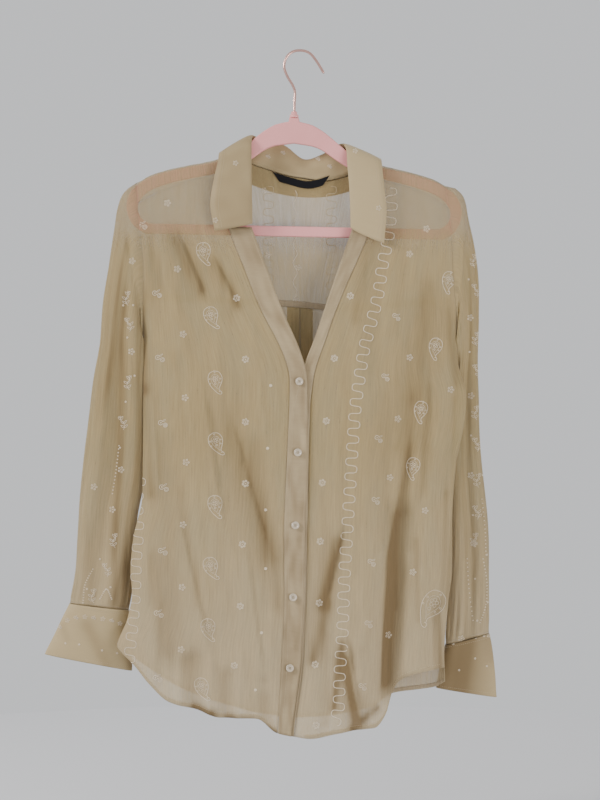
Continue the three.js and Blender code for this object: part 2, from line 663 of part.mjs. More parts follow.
function neckLabel() {
  const thick = 1.0;
  const corners = { leftX: -35, rightX: 38, drop: 9.5, skew: 9 };
  const place = (v, u) => {
    const top = mix(corners.leftX, corners.rightX, u);
    const low = mix(corners.leftX + corners.skew, corners.rightX - corners.skew, u);
    const x = mix(top, low, v);
    const share = (x + 88) / 176;
    const flat = station(neckSeam.filter((row) => row.h > 10), ['x', 'h'], (share - 0.15) / 0.7);
    const seam = overShoulder(x, flat.h + 1.2 + corners.drop * v);
    seam.y -= panelWall / 2 + thick / 2 + 0.45;
    return seam;
  };
  return wallMesh('neck_label', grid(2, 12, place), thick, colours.label, false);
}

// Turns a share of the way round into an angle, closer together at the two folds.
function ringTurn(share) {
  const turn = 2 * Math.PI * share;
  return turn - 0.2 * Math.sin(2 * turn);
}

// One flattened ring from its outer fold round the front to its inner fold and back.
function sleeveRing(row, count, loop) {
  const points = [];
  for (let j = 0; j < count; j += 1) {
    const turn = ringTurn(j / count);
    const share = (1 - Math.cos(turn)) / 2;
    const front = turn < Math.PI;
    const bulge = Math.abs(Math.sin(turn)) ** 0.75;
    const centre = front ? 0.46 : 0.56;
    const hollow = (row.hollow || 0) * Math.exp(-(((share - centre) / 0.17) ** 2));
    let y = row.y + (front ? -row.front * bulge + hollow : row.back * bulge - hollow * 0.8);
    let x = mix(row.ox, row.ix, share);
    let z = mix(row.oz, row.iz, share);
    if (loop && loop.weight > 0) {
      const start = armholePoint(loop.side, turn);
      const straightX = mix(loop.topX, loop.lowX, share);
      x += (start.x - straightX) * loop.weight;
      y = mix(y, start.y, loop.weight);
      z = mix(z, mix(row.oz, row.iz, share), loop.weight);
    }
    points.push(new THREE.Vector3(x, y, z));
  }
  return points;
}

// The armhole seam as a loop, a seam's gap outside the body panels.
function armholePoint(side, turn) {
  const sign = side === 'right' ? -1 : 1;
  const share = (1 - Math.cos(turn)) / 2;
  const ridge = ridgeZ(sideX(side, -170));
  const z = mix(ridge, underarmZ - 0.8, share);
  const depth = ridge - shoulderRadius - z;
  const half = depth < 0
    ? Math.sqrt(Math.max(shoulderRadius ** 2 - depth ** 2, 0))
    : armholeHalf(side, z);
  const gap = armholeGap + 1.6 * ease((underarmZ + 34 - z) / 34);
  const closed = share > 0.9999 || share < 0.0001 ? 0 : half;
  return new THREE.Vector3(
    sideX(side, z) + sign * gap,
    turn < Math.PI ? -closed : closed,
    z,
  );
}

function sleeve(side) {
  const count = 24;
  const rings = [];
  const first = [];
  for (let j = 0; j < count; j += 1) first.push(armholePoint(side, ringTurn(j / count)));
  rings.push(first);
  const columns = ['ox', 'oz', 'ix', 'iz', 'y', 'front', 'back', 'hollow'];
  const rows = sleeveStations[side];
  const total = 20;
  for (let i = 0; i <= total; i += 1) {
    const share = i / total;
    const weight = clamp(1 - (share * (rows.length - 1) + 1) / 6, 0, 1);
    const loop = { side, weight, topX: first[0].x, lowX: first[count / 2].x };
    rings.push(sleeveRing(station(rows, columns, share), count, loop));
  }
  return wallMesh(`${side}_sleeve`, rings, panelWall, colours.cloth, true);
}

function cuff(side) {
  const columns = ['ox', 'oz', 'ix', 'iz', 'y', 'front', 'back'];
  const rings = [];
  for (let i = 0; i <= 6; i += 1) {
    rings.push(sleeveRing(station(cuffStations[side], columns, i / 6), 22, null));
  }
  return wallMesh(`${side}_cuff`, rings, bandWall, colours.band, true);
}

function buttonShape(name) {
  const rim = buttonThick / 2;
  const profile = [
    [0, -rim], [buttonRadius * 0.8, -rim], [buttonRadius, -rim * 0.3], [buttonRadius, rim * 0.5],
    [buttonRadius * 0.88, rim], [buttonRadius * 0.66, rim * 0.9], [buttonRadius * 0.56, rim * 0.4],
    [0, rim * 0.4],
  ].map(([radius, height]) => new THREE.Vector2(radius, height));
  return namedMesh(name, new THREE.LatheGeometry(profile, 14), colours.button);
}

// Seats a button's back face a seam's gap off a surface, facing away from it.
function seatButton(mesh, point, facing, lift) {
  const turn = new THREE.Quaternion().setFromUnitVectors(new THREE.Vector3(0, 1, 0), facing);
  mesh.geometry.applyQuaternion(turn);
  const centre = point.clone().addScaledVector(facing, lift + buttonThick / 2);
  mesh.geometry.translate(centre.x, centre.y, centre.z);
  return mesh;
}

function frontButtons() {
  return buttonSpots.map((spot) => {
    const seam = read(bandLine.right, 'z', 'seam', spot.z);
    const edge = read(bandLine.right, 'z', 'edge', spot.z);
    const share = (spot.x - seam) / (edge - seam);
    const centre = bandPoint('right', spot.z, share);
    const across = bandPoint('right', spot.z, share + 0.12).sub(bandPoint('right', spot.z, share - 0.12));
    const along = bandPoint('right', spot.z + 4, share).sub(bandPoint('right', spot.z - 4, share));
    const facing = across.cross(along).normalize();
    if (facing.y > 0) facing.negate();
    return seatButton(buttonShape(spot.name), centre, facing, bandWall / 2 + 0.4);
  });
}

function cuffButton(side) {
  const row = station(cuffStations[side], ['ox', 'oz', 'ix', 'iz', 'y', 'back'], 0.5);
  const centre = new THREE.Vector3(
    mix(row.ox, row.ix, 0.5),
    row.y + row.back,
    mix(row.oz, row.iz, 0.5),
  );
  const facing = new THREE.Vector3(0, 1, 0);
  return seatButton(buttonShape(`${side}_cuff_button`), centre, facing, bandWall / 2 + 0.6);
}

function hangerBody() {
  const tops = [20, 32, 44, 55, 64, 74, 84, 96, 110, 125, 140, 155, 170, 184, 195];
  const boss = [new THREE.Vector2(6, -84), new THREE.Vector2(7, -89.2)];
  const outer = boss
    .concat(tops.map((out) => new THREE.Vector2(out, read(hangerTop, 'out', 'z', out))))
    .concat(hangerEnd.map((row) => new THREE.Vector2(row.out, row.z)));
  const inner = hangerHole.map((row) => new THREE.Vector2(row.out, row.z));
  const mirrored = (points) => points.concat(
    points.slice().reverse().filter((point) => point.x > 0.01)
      .map((point) => new THREE.Vector2(-point.x, point.y)),
  );
  const placed = (points) => mirrored(points).map((point) => new THREE.Vector2(
    point.x + hangerCentreX,
    point.y - point.x * hangerTilt,
  ));
  const shape = new THREE.Shape(shrink(placed(outer), hangerBevel));
  shape.holes.push(new THREE.Path(shrink(placed(inner), -hangerBevel).reverse()));
  const geometry = new THREE.ExtrudeGeometry(shape, {
    depth: 2 * (hangerHalf - hangerBevel),
    bevelEnabled: true,
    bevelThickness: hangerBevel,
    bevelSize: hangerBevel,
    bevelSegments: 1,
  });
  geometry.translate(0, 0, hangerBevel - hangerHalf);
  geometry.rotateX(Math.PI / 2);
  return namedMesh('hanger_body', geometry, colours.hanger);
}

// Moves an outline inward, so that its bevel brings it back to its size.
function shrink(points, by) {
  const sign = THREE.ShapeUtils.area(points) > 0 ? 1 : -1;
  return points.map((point, index) => {
    const before = points[(index + points.length - 1) % points.length];
    const after = points[(index + 1) % points.length];
    const way = after.clone().sub(before).normalize();
    return new THREE.Vector2(point.x - way.y * by * sign, point.y + way.x * by * sign);
  });
}

function hangerHook() {
  const path = new THREE.CatmullRomCurve3(
    hookPath.map((row) => new THREE.Vector3(row.x, 0, row.z)),
    false,
    'centripetal',
  );
  const round = new THREE.Shape();
  round.absarc(0, 0, wireRadius, 0, Math.PI * 2, false);
  const geometry = new THREE.ExtrudeGeometry(round, {
    steps: 34,
    curveSegments: 4,
    bevelEnabled: false,
    extrudePath: path,
  });
  return namedMesh('hanger_hook', geometry, colours.wire);
}

const blouse = new THREE.Group();
blouse.name = 'embroidered_blouse';
blouse.add(
  hangerBody(),
  hangerHook(),
  frontPanel('right'),
  frontPanel('left'),
  frontBand('right'),
  frontBand('left'),
  backPanel(),
  yoke(),
  collar(),
  neckLabel(),
  sleeve('right'),
  sleeve('left'),
  cuff('right'),
  cuff('left'),
  ...frontButtons(),
  cuffButton('right'),
  cuffButton('left'),
);

export default blouse;
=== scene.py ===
import bpy
import math
from bisect import bisect_right
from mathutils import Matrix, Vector, noise
from mathutils.bvhtree import BVHTree


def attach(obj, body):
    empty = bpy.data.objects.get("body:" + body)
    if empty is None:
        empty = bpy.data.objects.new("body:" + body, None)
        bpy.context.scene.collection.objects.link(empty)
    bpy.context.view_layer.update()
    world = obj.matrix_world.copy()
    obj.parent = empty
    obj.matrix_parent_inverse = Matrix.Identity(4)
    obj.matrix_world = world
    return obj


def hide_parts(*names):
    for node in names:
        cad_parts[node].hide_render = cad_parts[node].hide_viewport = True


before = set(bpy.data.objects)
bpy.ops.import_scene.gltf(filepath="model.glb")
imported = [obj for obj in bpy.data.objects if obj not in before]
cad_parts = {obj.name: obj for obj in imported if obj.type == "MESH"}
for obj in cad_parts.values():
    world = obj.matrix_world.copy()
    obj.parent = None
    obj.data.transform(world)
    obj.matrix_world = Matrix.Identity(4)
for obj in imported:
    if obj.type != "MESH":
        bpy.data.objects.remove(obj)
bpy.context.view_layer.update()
scene = bpy.context.scene
mm = 0.001
print("frame loaded:", len(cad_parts), "solids")

# Sizes below are in millimetres in the blouse's own frame; meshes are written in metres.
# "right" and "left" are the wearer's: the right front is on -X, and the front faces -Y.

# The camera, the lights and the floor are placed in metres.
viewPoint = {"distance": 2.6, "middleX": 0.0, "middleZ": -0.4423, "seenHeight": 1.016,
             "sensor": 36}
lightSetup = {
    "skyColour": (0.80, 0.81, 0.83), "skyStrength": 0.92,
    "keyPower": 72, "keyPlace": (-2.3, -0.95, 0.7), "keySize": 0.8,
    "fillPower": 33, "fillPlace": (1.45, -1.5, -0.88), "fillSize": 1.2,
    "backPower": 7, "backPlace": (0.4, 1.7, 0.5), "backSize": 1.5,
    "aimHeight": -0.45,
}
floorPlan = {"level": -1.03, "radius": 1.35, "corners": 96, "colour": (0.66, 0.66, 0.67)}


def addObject(name, data):
    made = bpy.data.objects.new(name, data)
    scene.collection.objects.link(made)
    return made


def makeCamera():
    lens = bpy.data.cameras.new("camera")
    lens.sensor_width = viewPoint["sensor"]
    lens.lens = viewPoint["sensor"] * viewPoint["distance"] / viewPoint["seenHeight"]
    lens.clip_end = 50
    camera = addObject("camera", lens)
    camera.location = (viewPoint["middleX"], -viewPoint["distance"], viewPoint["middleZ"])
    camera.rotation_euler = (math.radians(90), 0, 0)
    scene.camera = camera


def softLight(name, power, place, size):
    lamp = bpy.data.lights.new(name, "AREA")
    lamp.energy = power
    lamp.shape = "DISK"
    lamp.size = size
    lampObject = addObject(name, lamp)
    lampObject.location = place
    towards = Vector((0, 0, lightSetup["aimHeight"])) - Vector(place)
    lampObject.rotation_euler = towards.to_track_quat("-Z", "Y").to_euler()


makeCamera()
for part in ("key", "fill", "back"):
    softLight(part + "Light", lightSetup[part + "Power"], lightSetup[part + "Place"],
              lightSetup[part + "Size"])
sky = bpy.data.worlds.new("softSky")
sky.use_nodes = True
skyNode = next(node for node in sky.node_tree.nodes if node.type == "BACKGROUND")
skyNode.inputs["Color"].default_value = (*lightSetup["skyColour"], 1)
skyNode.inputs["Strength"].default_value = lightSetup["skyStrength"]
scene.world = sky
print("camera and lights placed")


# An expression on shader values adds its Math nodes.
class Value:
    def __init__(self, finish, socket):
        self.finish = finish
        self.socket = socket

    def steppedBy(self, operation, other, swapped=False):
        pair = (other, self) if swapped else (self, other)
        return self.finish.node("ShaderNodeMath", {"operation": operation}, *pair)

    def __add__(self, other):
        return self.steppedBy("ADD", other)

    __radd__ = __add__

    def __mul__(self, other):
        return self.steppedBy("MULTIPLY", other)

    __rmul__ = __mul__

    def __sub__(self, other):
        return self.steppedBy("SUBTRACT", other)

    def __rsub__(self, other):
        return self.steppedBy("SUBTRACT", other, True)

    def __pow__(self, other):
        return self.steppedBy("POWER", other)

    def held(self, low, high):
        return self.steppedBy("MAXIMUM", low).steppedBy("MINIMUM", high)


class Finish:
    def __init__(self, name, **fixed):
        self.material = bpy.data.materials.new(name)
        self.material.use_nodes = True
        self.tree = self.material.node_tree
        self.shader = next(n for n in self.tree.nodes if n.type == "BSDF_PRINCIPLED")
        for socket, value in fixed.items():
            self.shader.inputs[socket.replace("_", " ")].default_value = value

    def join(self, value, socket):
        if isinstance(value, Value):
            self.tree.links.new(value.socket, socket)
        elif value is not None:
            socket.default_value = value

    def node(self, kind, settings=None, *inputs, **named):
        made = self.tree.nodes.new(kind)
        for setting, value in (settings or {}).items():
            setattr(made, setting, value)
        for index, value in enumerate(inputs):
            self.join(value, made.inputs[index])
        for socket, value in named.items():
            self.join(value, made.inputs[socket.replace("_", " ")])
        shown = [out for out in made.outputs if out.enabled]
        return Value(self, shown[0])

    def place(self, scale, own=True):
        if own:
            spot = self.node("ShaderNodeUVMap", {"uv_map": "clothMeasure"})
        else:
            made = self.tree.nodes.new("ShaderNodeTexCoord")
            spot = Value(self, made.outputs["Object"])
        return self.node("ShaderNodeMapping", None, Vector=spot, Scale=scale)

    def grain(self, scale, size=1.0, detail=2.0, own=True):
        return self.node("ShaderNodeTexNoise", None, Vector=self.place(scale, own),
                         Scale=size, Detail=detail)

    def height(self):
        spot = self.place((1, 1, 1), False)
        parts = self.tree.nodes.new("ShaderNodeSeparateXYZ")
        self.join(spot, parts.inputs[0])
        return Value(self, parts.outputs["Z"])

    def attribute(self, name):
        made = self.tree.nodes.new("ShaderNodeAttribute")
        made.attribute_name = name
        return Value(self, made.outputs["Fac"])

    def blend(self, share, first, second):
        made = self.tree.nodes.new("ShaderNodeMix")
        made.data_type = "RGBA"
        self.join(share, made.inputs[0])
        for index, colour in ((6, first), (7, second)):
            self.join(colour if isinstance(colour, Value) else (*colour, 1), made.inputs[index])
        return Value(self, made.outputs[2])

    def give(self, **sockets):
        for socket, value in sockets.items():
            self.join(value, self.shader.inputs[socket.replace("_", " ")])

    def bump(self, height, strength, distance):
        self.give(Normal=self.node("ShaderNodeBump", None, Strength=strength, Distance=distance,
                                   Height=height))


# The cloth's tones; the darkest is painted shade for folds and valleys, and low is painted light
# towards the hem.
clothLook = {
    "lit": (0.470, 0.352, 0.172), "deep": (0.375, 0.270, 0.124),
    "paintedShade": (0.170, 0.110, 0.048), "cool": (0.400, 0.322, 0.170),
    "low": (0.600, 0.485, 0.320), "streakAcross": 420, "streakDown": 24, "cover": 0.61,
    "coverSwing": 0.2, "shoulderCover": 0.2, "roughness": 0.78, "sheen": 0.12,
}
smoothLook = {"lit": (0.490, 0.380, 0.212), "deep": (0.400, 0.300, 0.155), "cover": 0.93}
bandLook = {"lit": (0.495, 0.385, 0.228), "deep": (0.250, 0.180, 0.098), "cover": 0.9}


def chiffonFinish():
    look = clothLook
    made = Finish("crinkledChiffon", Roughness=look["roughness"], Sheen_Weight=look["sheen"],
                  Sheen_Roughness=0.45, Specular_IOR_Level=0.18)
    noisy = made.grain((look["streakAcross"], look["streakDown"], 1), detail=2)
    streak = ((noisy - 0.5) * 1.7 + 0.5).held(0, 1)
    fine = made.grain((1400, 260, 1), detail=2)
    broad = made.grain((9, 5, 1), detail=3)
    patch = made.grain((34, 15, 1), detail=3)
    paintedShade = made.attribute("paintedShade")
    # the cloth's tone varies in random streaks and blotches; the blotches partly paint the soft
    # shade of small creases
    cloth = made.blend((streak * 0.42 + broad * 0.4 + patch * 0.5 - 0.14).held(0, 1),
                       look["deep"], look["lit"])
    cloth = made.blend(((broad - patch) * 2.2 + 0.2).held(0, 0.5), cloth, look["cool"])
    # painted light: paler towards the hem, as if more light falls on the lower cloth
    cloth = made.blend(((-0.5 - made.height()) * 1.8).held(0, 0.55), cloth, look["low"])
    # painted shade: darker where the point attribute marks folds, valleys and shaded parts
    made.give(Base_Color=made.blend((paintedShade * 0.92).held(0, 0.92), cloth, look["paintedShade"]))
    # the hanger shows faintly through the shoulders
    thinner = ((made.height() + 0.262) * 5).held(0, look["shoulderCover"])
    # where shade is painted the cloth is also a little more opaque
    made.give(Alpha=(streak * look["coverSwing"] + fine * 0.12 + paintedShade * 0.25
                     + (look["cover"] - 0.16) - thinner).held(0.25, 0.92))
    made.bump(streak * 0.8 + fine * 0.3, 0.75, 0.0009)
    return made.material


def smoothClothFinish(name, look, blotch):
    made = Finish(name, Roughness=0.6, Sheen_Weight=0.2, Sheen_Roughness=0.4,
                  Specular_IOR_Level=0.25)
    weave = made.grain((2100, 2100, 1), detail=1)
    slub = made.grain((60, 420, 1), detail=3)
    broad = made.grain((14, 10, 1), detail=3)
    cloth = made.blend((slub * 0.35 + broad * blotch + (0.25 - blotch * 0.4)).held(0, 1),
                       look["deep"], look["lit"])
    # painted shade: darker where the point attribute marks shaded parts of the collar, cuffs and
    # bands
    paintedShade = made.attribute("paintedShade")
    made.give(Base_Color=made.blend((paintedShade * 0.85).held(0, 0.85), cloth, clothLook["paintedShade"]))
    made.give(Alpha=(weave * 0.1 + (look["cover"] - 0.05)).held(0.7, 1))
    made.bump(weave * 0.5 + slub * 0.5, 0.45, 0.0004)
    return made.material


def threadFinish():
    made = Finish("paleThread", Roughness=0.38, Sheen_Weight=0.35, Specular_IOR_Level=0.5)
    tone = made.grain((260, 260, 260), own=False)
    made.give(Base_Color=made.blend(tone, (0.60, 0.485, 0.335), (0.77, 0.665, 0.51)))
    return made.material


def seamThreadFinish():
    made = Finish("seamThread", Roughness=0.55, Sheen_Weight=0.2)
    tone = made.grain((400, 400, 400), own=False)
    made.give(Base_Color=made.blend(tone, (0.40, 0.31, 0.19), (0.56, 0.45, 0.29)))
    return made.material


def pearlFinish():
    made = Finish("pearlyShell", Coat_Weight=0.45, Coat_Roughness=0.16, Specular_IOR_Level=0.55)
    cloud = made.grain((240, 240, 420), detail=4, own=False)
    made.give(Base_Color=made.blend(cloud, (0.36, 0.285, 0.195), (0.62, 0.53, 0.405)),
              Roughness=cloud * 0.25 + 0.16)
    made.bump(cloud, 0.15, 0.0003)
    return made.material


def hangerFinish():
    made = Finish("pinkSatinPlastic", Specular_IOR_Level=0.4, Coat_Weight=0.08)
    cloud = made.grain((22, 22, 22), detail=4, own=False)
    speck = made.grain((900, 900, 900), detail=1, own=False)
    made.give(Base_Color=made.blend(cloud, (0.70, 0.285, 0.275), (0.78, 0.345, 0.33)),
              Roughness=cloud * 0.14 + 0.38)
    made.bump(speck, 0.2, 0.0002)
    return made.material


def wireFinish():
    made = Finish("roseGoldWire", Metallic=1.0, Specular_IOR_Level=0.5)
    drawn = made.grain((90, 90, 1400), detail=2, own=False)
    made.give(Base_Color=made.blend(drawn, (0.56, 0.30, 0.25), (0.78, 0.50, 0.43)),
              Roughness=drawn * 0.2 + 0.2)
    return made.material


def labelFinish():
    made = Finish("blackSatin", Sheen_Weight=0.0, Specular_IOR_Level=0.1)
    weave = made.grain((300, 1900, 1), detail=2)
    made.give(Base_Color=made.blend(weave, (0.004, 0.004, 0.005), (0.012, 0.011, 0.013)),
              Roughness=weave * 0.25 + 0.35)
    made.bump(weave, 0.4, 0.0002)
    return made.material


def allowanceFinish():
    made = Finish("seamAllowance", Roughness=0.8, Sheen_Weight=0.2, Specular_IOR_Level=0.15)
    streak = made.grain((330, 20, 1), detail=3)
    made.give(Base_Color=made.blend(streak, (0.40, 0.305, 0.18), (0.50, 0.39, 0.245)))
    made.give(Alpha=(streak * 0.3 + 0.42).held(0.3, 0.85))
    return made.material


chiffon = chiffonFinish()
smoothCloth = smoothClothFinish("doubledCloth", smoothLook, 0.6)
# the bands' strong random blotches partly paint the shade of their puckers
bandCloth = smoothClothFinish("bandCloth", bandLook, 1.5)
paleThread = threadFinish()
seamThread = seamThreadFinish()
pearl = pearlFinish()
pinkPlastic = hangerFinish()
roseWire = wireFinish()
blackSatin = labelFinish()
allowanceCloth = allowanceFinish()
print("finishes made")


def makeFloor():
    made = Finish("paleFloor", Roughness=0.9, Specular_IOR_Level=0.1)
    cloud = made.grain((3, 3, 3), detail=2, own=False)
    made.give(Base_Color=made.blend(cloud, tuple(c * 0.985 for c in floorPlan["colour"]),
                                    floorPlan["colour"]))
    corners, radius = floorPlan["corners"], floorPlan["radius"]
    turns = [math.tau * i / corners for i in range(corners)]
    rim = [(radius * math.cos(turn), radius * math.sin(turn), floorPlan["level"])
           for turn in turns]
    mesh = bpy.data.meshes.new("floor")
    mesh.from_pydata(rim, [], [list(range(corners))])
    mesh.materials.append(made.material)
    addObject("floor", mesh)


makeFloor()


class Line:
    # a smooth curve through (place, value) pairs that never overshoots
    def __init__(self, pairs):
        pairs = sorted(pairs)
        self.at = [pair[0] for pair in pairs]
        self.value = [pair[1] for pair in pairs]
        slopes = [(self.value[k + 1] - self.value[k]) / (self.at[k + 1] - self.at[k])
                  for k in range(len(pairs) - 1)]
        self.slope = [slopes[0]]
        for a, b in zip(slopes, slopes[1:]):
            self.slope.append(0 if a * b <= 0 else 2 * a * b / (a + b))
        self.slope.append(slopes[-1])

    def __call__(self, at):
        if at <= self.at[0]:
            return self.value[0]
        if at >= self.at[-1]:
            return self.value[-1]
        i = bisect_right(self.at, at) - 1
        span = self.at[i + 1] - self.at[i]
        t = (at - self.at[i]) / span
        t2, t3 = t * t, t * t * t
        return (self.value[i] * (2 * t3 - 3 * t2 + 1) + self.slope[i] * span * (t3 - 2 * t2 + t)
                + self.value[i + 1] * (3 * t2 - 2 * t3) + self.slope[i + 1] * span * (t3 - t2))


def station(rows, share):
    # columns of a table at an even share of its rows, with a rounded curve
    at = min(max(share, 0), 1) * (len(rows) - 1)
    i = min(int(at), len(rows) - 2)
    t = at - i
    made = []
    for column in range(len(rows[0])):
        b, c = rows[i][column], rows[i + 1][column]
        a = rows[i - 1][column] if i > 0 else 2 * b - c
        d = rows[i + 2][column] if i + 2 < len(rows) else 2 * c - b
        made.append(b + 0.5 * t * (c - a + t * (2 * a - 5 * b + 4 * c - d
                                                + t * (3 * (b - c) + d - a))))
    return made


def clamp(value, low, high):
    return low if value < low else high if value > high else value


def ease(value):
    t = clamp(value, 0, 1)
    return t * t * (3 - 2 * t)


def mix(a, b, t):
    return a + (b - a) * t


photoPlan = {"scale": 1.27, "middleX": 300, "topY": 52}   # millimetres a pixel, and pixels


def fromPhoto(px, py):
    scale = photoPlan["scale"]
    return (px - photoPlan["middleX"]) * scale, -(py - photoPlan["topY"]) * scale


def toPhoto(x, z):
    scale = photoPlan["scale"]
    return photoPlan["middleX"] + x / scale, photoPlan["topY"] - z / scale


# Outlines of the hanger: how far out from its middle, and height.
hangerShape = {
    "middleX": -7.5, "tilt": 0.021, "half": 4.0, "round": 1.7,
    "top": [(0, -88.7), (20, -92), (40, -103), (55, -115.5), (70, -127), (96, -141),
            (133, -149.3), (163, -156.5), (183, -163.5), (199, -173)],
    "end": [(208, -183), (212.5, -197), (211, -212), (203, -226), (189, -235)],
    "hole": [(0, -116.5), (30, -122), (55, -138), (72, -147.5), (96, -156), (133, -164),
             (163, -172), (184, -181), (196, -193), (198.5, -204), (194, -215), (184, -222)],
    "boss": [(6, -84), (7, -89.2)], "endCount": 26, "holeCount": 60,
    "topPlaces": [16, 24, 32, 40, 48, 56, 64, 72, 80, 88, 96, 106, 116, 128, 140, 152, 164, 176,
                  186, 195],
}
# Depths go by the drop below the shoulder, and the sides by height.
bodyForm = {
    "overHanger": 2.2, "shoulderRadius": 6.0, "armholeStart": -170, "underarm": -360,
    "armholeDepth": 14, "sideGap": 0.5, "lapLift": 2.6, "seamDrop": 22,
    "front": [(0, 6), (30, 7.8), (80, 12.5), (170, 20), (280, 27), (460, 30), (740, 28)],
    "back": [(0, 6), (30, 8.2), (80, 12), (170, 19), (280, 24), (460, 27), (740, 27)],
    "sideRight": [(-160, 207), (-180, 206), (-230, 202), (-273, 198), (-347, 199), (-442, 199),
                  (-563, 200), (-621, 212), (-659, 215), (-688, 213), (-720, 219), (-755, 232),
                  (-880, 236)],
    "sideLeft": [(-160, 184), (-198, 187), (-230, 191), (-292, 194), (-347, 199), (-391, 200),
                 (-439, 211), (-479, 207), (-523, 198), (-607, 193), (-654, 193), (-700, 188),
                 (-766, 183), (-800, 184), (-880, 184)],
}
shoulderRadius = bodyForm["shoulderRadius"]
quarterTurn = shoulderRadius * math.pi / 2
hangerTop = Line(hangerShape["top"])


def hangerTopZ(x):
    out = x - hangerShape["middleX"]
    return hangerTop(abs(out)) - out * hangerShape["tilt"]


def ridgeRow(x):
    bump = 2.6 * math.exp(-(((abs(x) - 85) / 14) ** 2))
    return x, hangerTopZ(x) + bodyForm["overHanger"] + bump


ridgeOuts = [80, 90, 104, 120, 140, 155, 170, 186, 196, 206, 215]
ridgeZ = Line([ridgeRow(-out) for out in ridgeOuts] + [(0, -135)]
              + [ridgeRow(out) for out in ridgeOuts])
sideLine = {"right": Line(bodyForm["sideRight"]), "left": Line(bodyForm["sideLeft"])}
middleDepth = {"front": Line(bodyForm["front"]), "back": Line(bodyForm["back"])}


def sideX(side, z):
    return sideLine[side](z) * (-1 if side == "right" else 1)


armholeRidge = {side: ridgeZ(sideX(side, bodyForm["armholeStart"])) for side in ("right", "left")}
armholeTop = {side: ridge - shoulderRadius for side, ridge in armholeRidge.items()}


def armholeHalf(side, z):
    gap = bodyForm["sideGap"]
    share = clamp((armholeTop[side] - z) / (armholeTop[side] - bodyForm["underarm"]), 0, 1)
    widest = shoulderRadius + (bodyForm["armholeDepth"] - shoulderRadius) * math.sin(
        math.pi * share ** 0.8)
    return gap + (widest - gap) * math.sqrt(1 - share ** 5)


# Folds: x and z of the top, x and z of the foot, width, and rise, negative for a dip.
folds = {
    "front": [
        (-155, -234, -126, -306, 15, -5), (-108, -276, -82, -325, 13, -4),
        (-172, -250, -150, -370, 16, 4), (-89, -470, -36, -645, 20, -5),
        (-128, -430, -112, -700, 22, 4), (-168, -500, -150, -770, 18, -5),
        (-60, -660, -48, -800, 15, 4), (-134, -770, -133, -835, 12, -6),
        (-92, -790, -92, -845, 10, -5), (-46, -800, -42, -855, 10, -6),
        (158, -330, 136, -500, 24, -6), (128, -590, 112, -800, 20, -12),
        (168, -540, 152, -780, 16, 4), (86, -420, 76, -800, 20, 5),
        (47, -620, 24, -765, 14, -4), (55, -770, 68, -855, 12, -6),
        (108, -230, 92, -420, 16, -4),
    ],
    "back": [
        (-150, -400, -132, -700, 24, -5), (-96, -380, -84, -800, 20, 5),
        (-58, -560, -62, -840, 16, -6), (62, -420, 70, -830, 18, -6),
        (104, -360, 110, -760, 20, 5), (150, -430, 142, -780, 22, -5),
    ],
}
# Finer creases of the thin cloth, on the same footing as the folds.
creases = {
    "front": [
        (-186, -260, -176, -345, 6, -2.2), (-163, -300, -140, -400, 7, 1.8),
        (-118, -236, -98, -300, 6, 1.8), (-128, -225, -112, -262, 5, -1.8),
        (-190, -380, -172, -470, 7, -2.0), (-177, -420, -160, -520, 6, 1.6),
        (-150, -390, -140, -560, 6, -1.8), (-104, -360, -98, -520, 6, 1.6),
        (-86, -330, -72, -470, 6, -1.6), (-60, -350, -44, -480, 6, 1.5),
        (-70, -520, -34, -640, 7, -2.2), (-98, -560, -74, -700, 6, 1.7),
        (-118, -600, -104, -780, 6, -1.9), (-146, -620, -140, -760, 6, 1.7),
        (-182, -560, -186, -700, 7, -2.2), (-196, -640, -206, -740, 7, 2.0),
        (-172, -700, -176, -800, 6, -2.0), (-152, -760, -152, -826, 5, 2.2),
        (-112, -770, -116, -838, 5, 2.2), (-74, -760, -78, -842, 5, 2.0),
        (-62, -700, -60, -840, 5, -2.0), (-34, -640, -36, -760, 5, 1.5),
        (120, -240, 104, -380, 6, 1.8), (136, -260, 124, -360, 6, -2.0),
        (148, -300, 150, -420, 6, 2.0), (172, -300, 178, -400, 7, -2.4),
        (184, -380, 190, -470, 6, 2.0), (168, -430, 160, -560, 7, -2.2),
        (146, -500, 138, -640, 7, 2.0), (112, -440, 104, -620, 6, -1.8),
        (96, -520, 92, -700, 6, 1.8), (64, -380, 60, -560, 6, -1.6),
        (76, -600, 66, -780, 6, -1.8), (50, -480, 44, -620, 5, 1.4),
        (34, -560, 30, -700, 5, -1.4), (140, -640, 132, -780, 7, 2.6),
        (104, -640, 100, -800, 6, 2.4), (158, -600, 168, -720, 6, -2.2),
        (178, -560, 176, -700, 6, 1.9), (36, -740, 34, -850, 6, -2.4),
        (84, -760, 86, -850, 6, -2.4), (72, -790, 76, -854, 5, 2.2),
    ],
    "back": [
        (-170, -360, -160, -520, 7, 2), (-120, -380, -112, -560, 6, -2),
        (-74, -360, -76, -520, 6, 2), (-110, -560, -108, -760, 7, -2.2),
        (-40, -420, -44, -700, 6, -2), (44, -400, 48, -620, 6, 2),
        (88, -380, 90, -560, 7, -2), (128, -400, 126, -600, 6, 2),
        (168, -420, 164, -640, 6, -2), (124, -600, 128, -760, 7, -2.2),
        (-172, -560, -178, -740, 7, 2.2), (84, -620, 88, -800, 6, 2),
    ],
}
crinkle = {"width": 13, "length": 110, "rise": 0.55, "fineWidth": 4.2, "fineLength": 60,
           "fineRise": 0.16}


def foldRise(rows, x, z):
    rise = 0
    for x0, z0, x1, z1, width, height in rows:
        if abs(x - x0) > width * 3 + abs(x1 - x0):
            continue
        dx, dz = x1 - x0, z1 - z0
        t = clamp(((x - x0) * dx + (z - z0) * dz) / (dx * dx + dz * dz), 0, 1)
        awayX, awayZ = (x - x0 - dx * t) / width, (z - z0 - dz * t) / width
        away = awayX * awayX + awayZ * awayZ
        if away < 9:
            rise += height * math.exp(-away)
    return rise


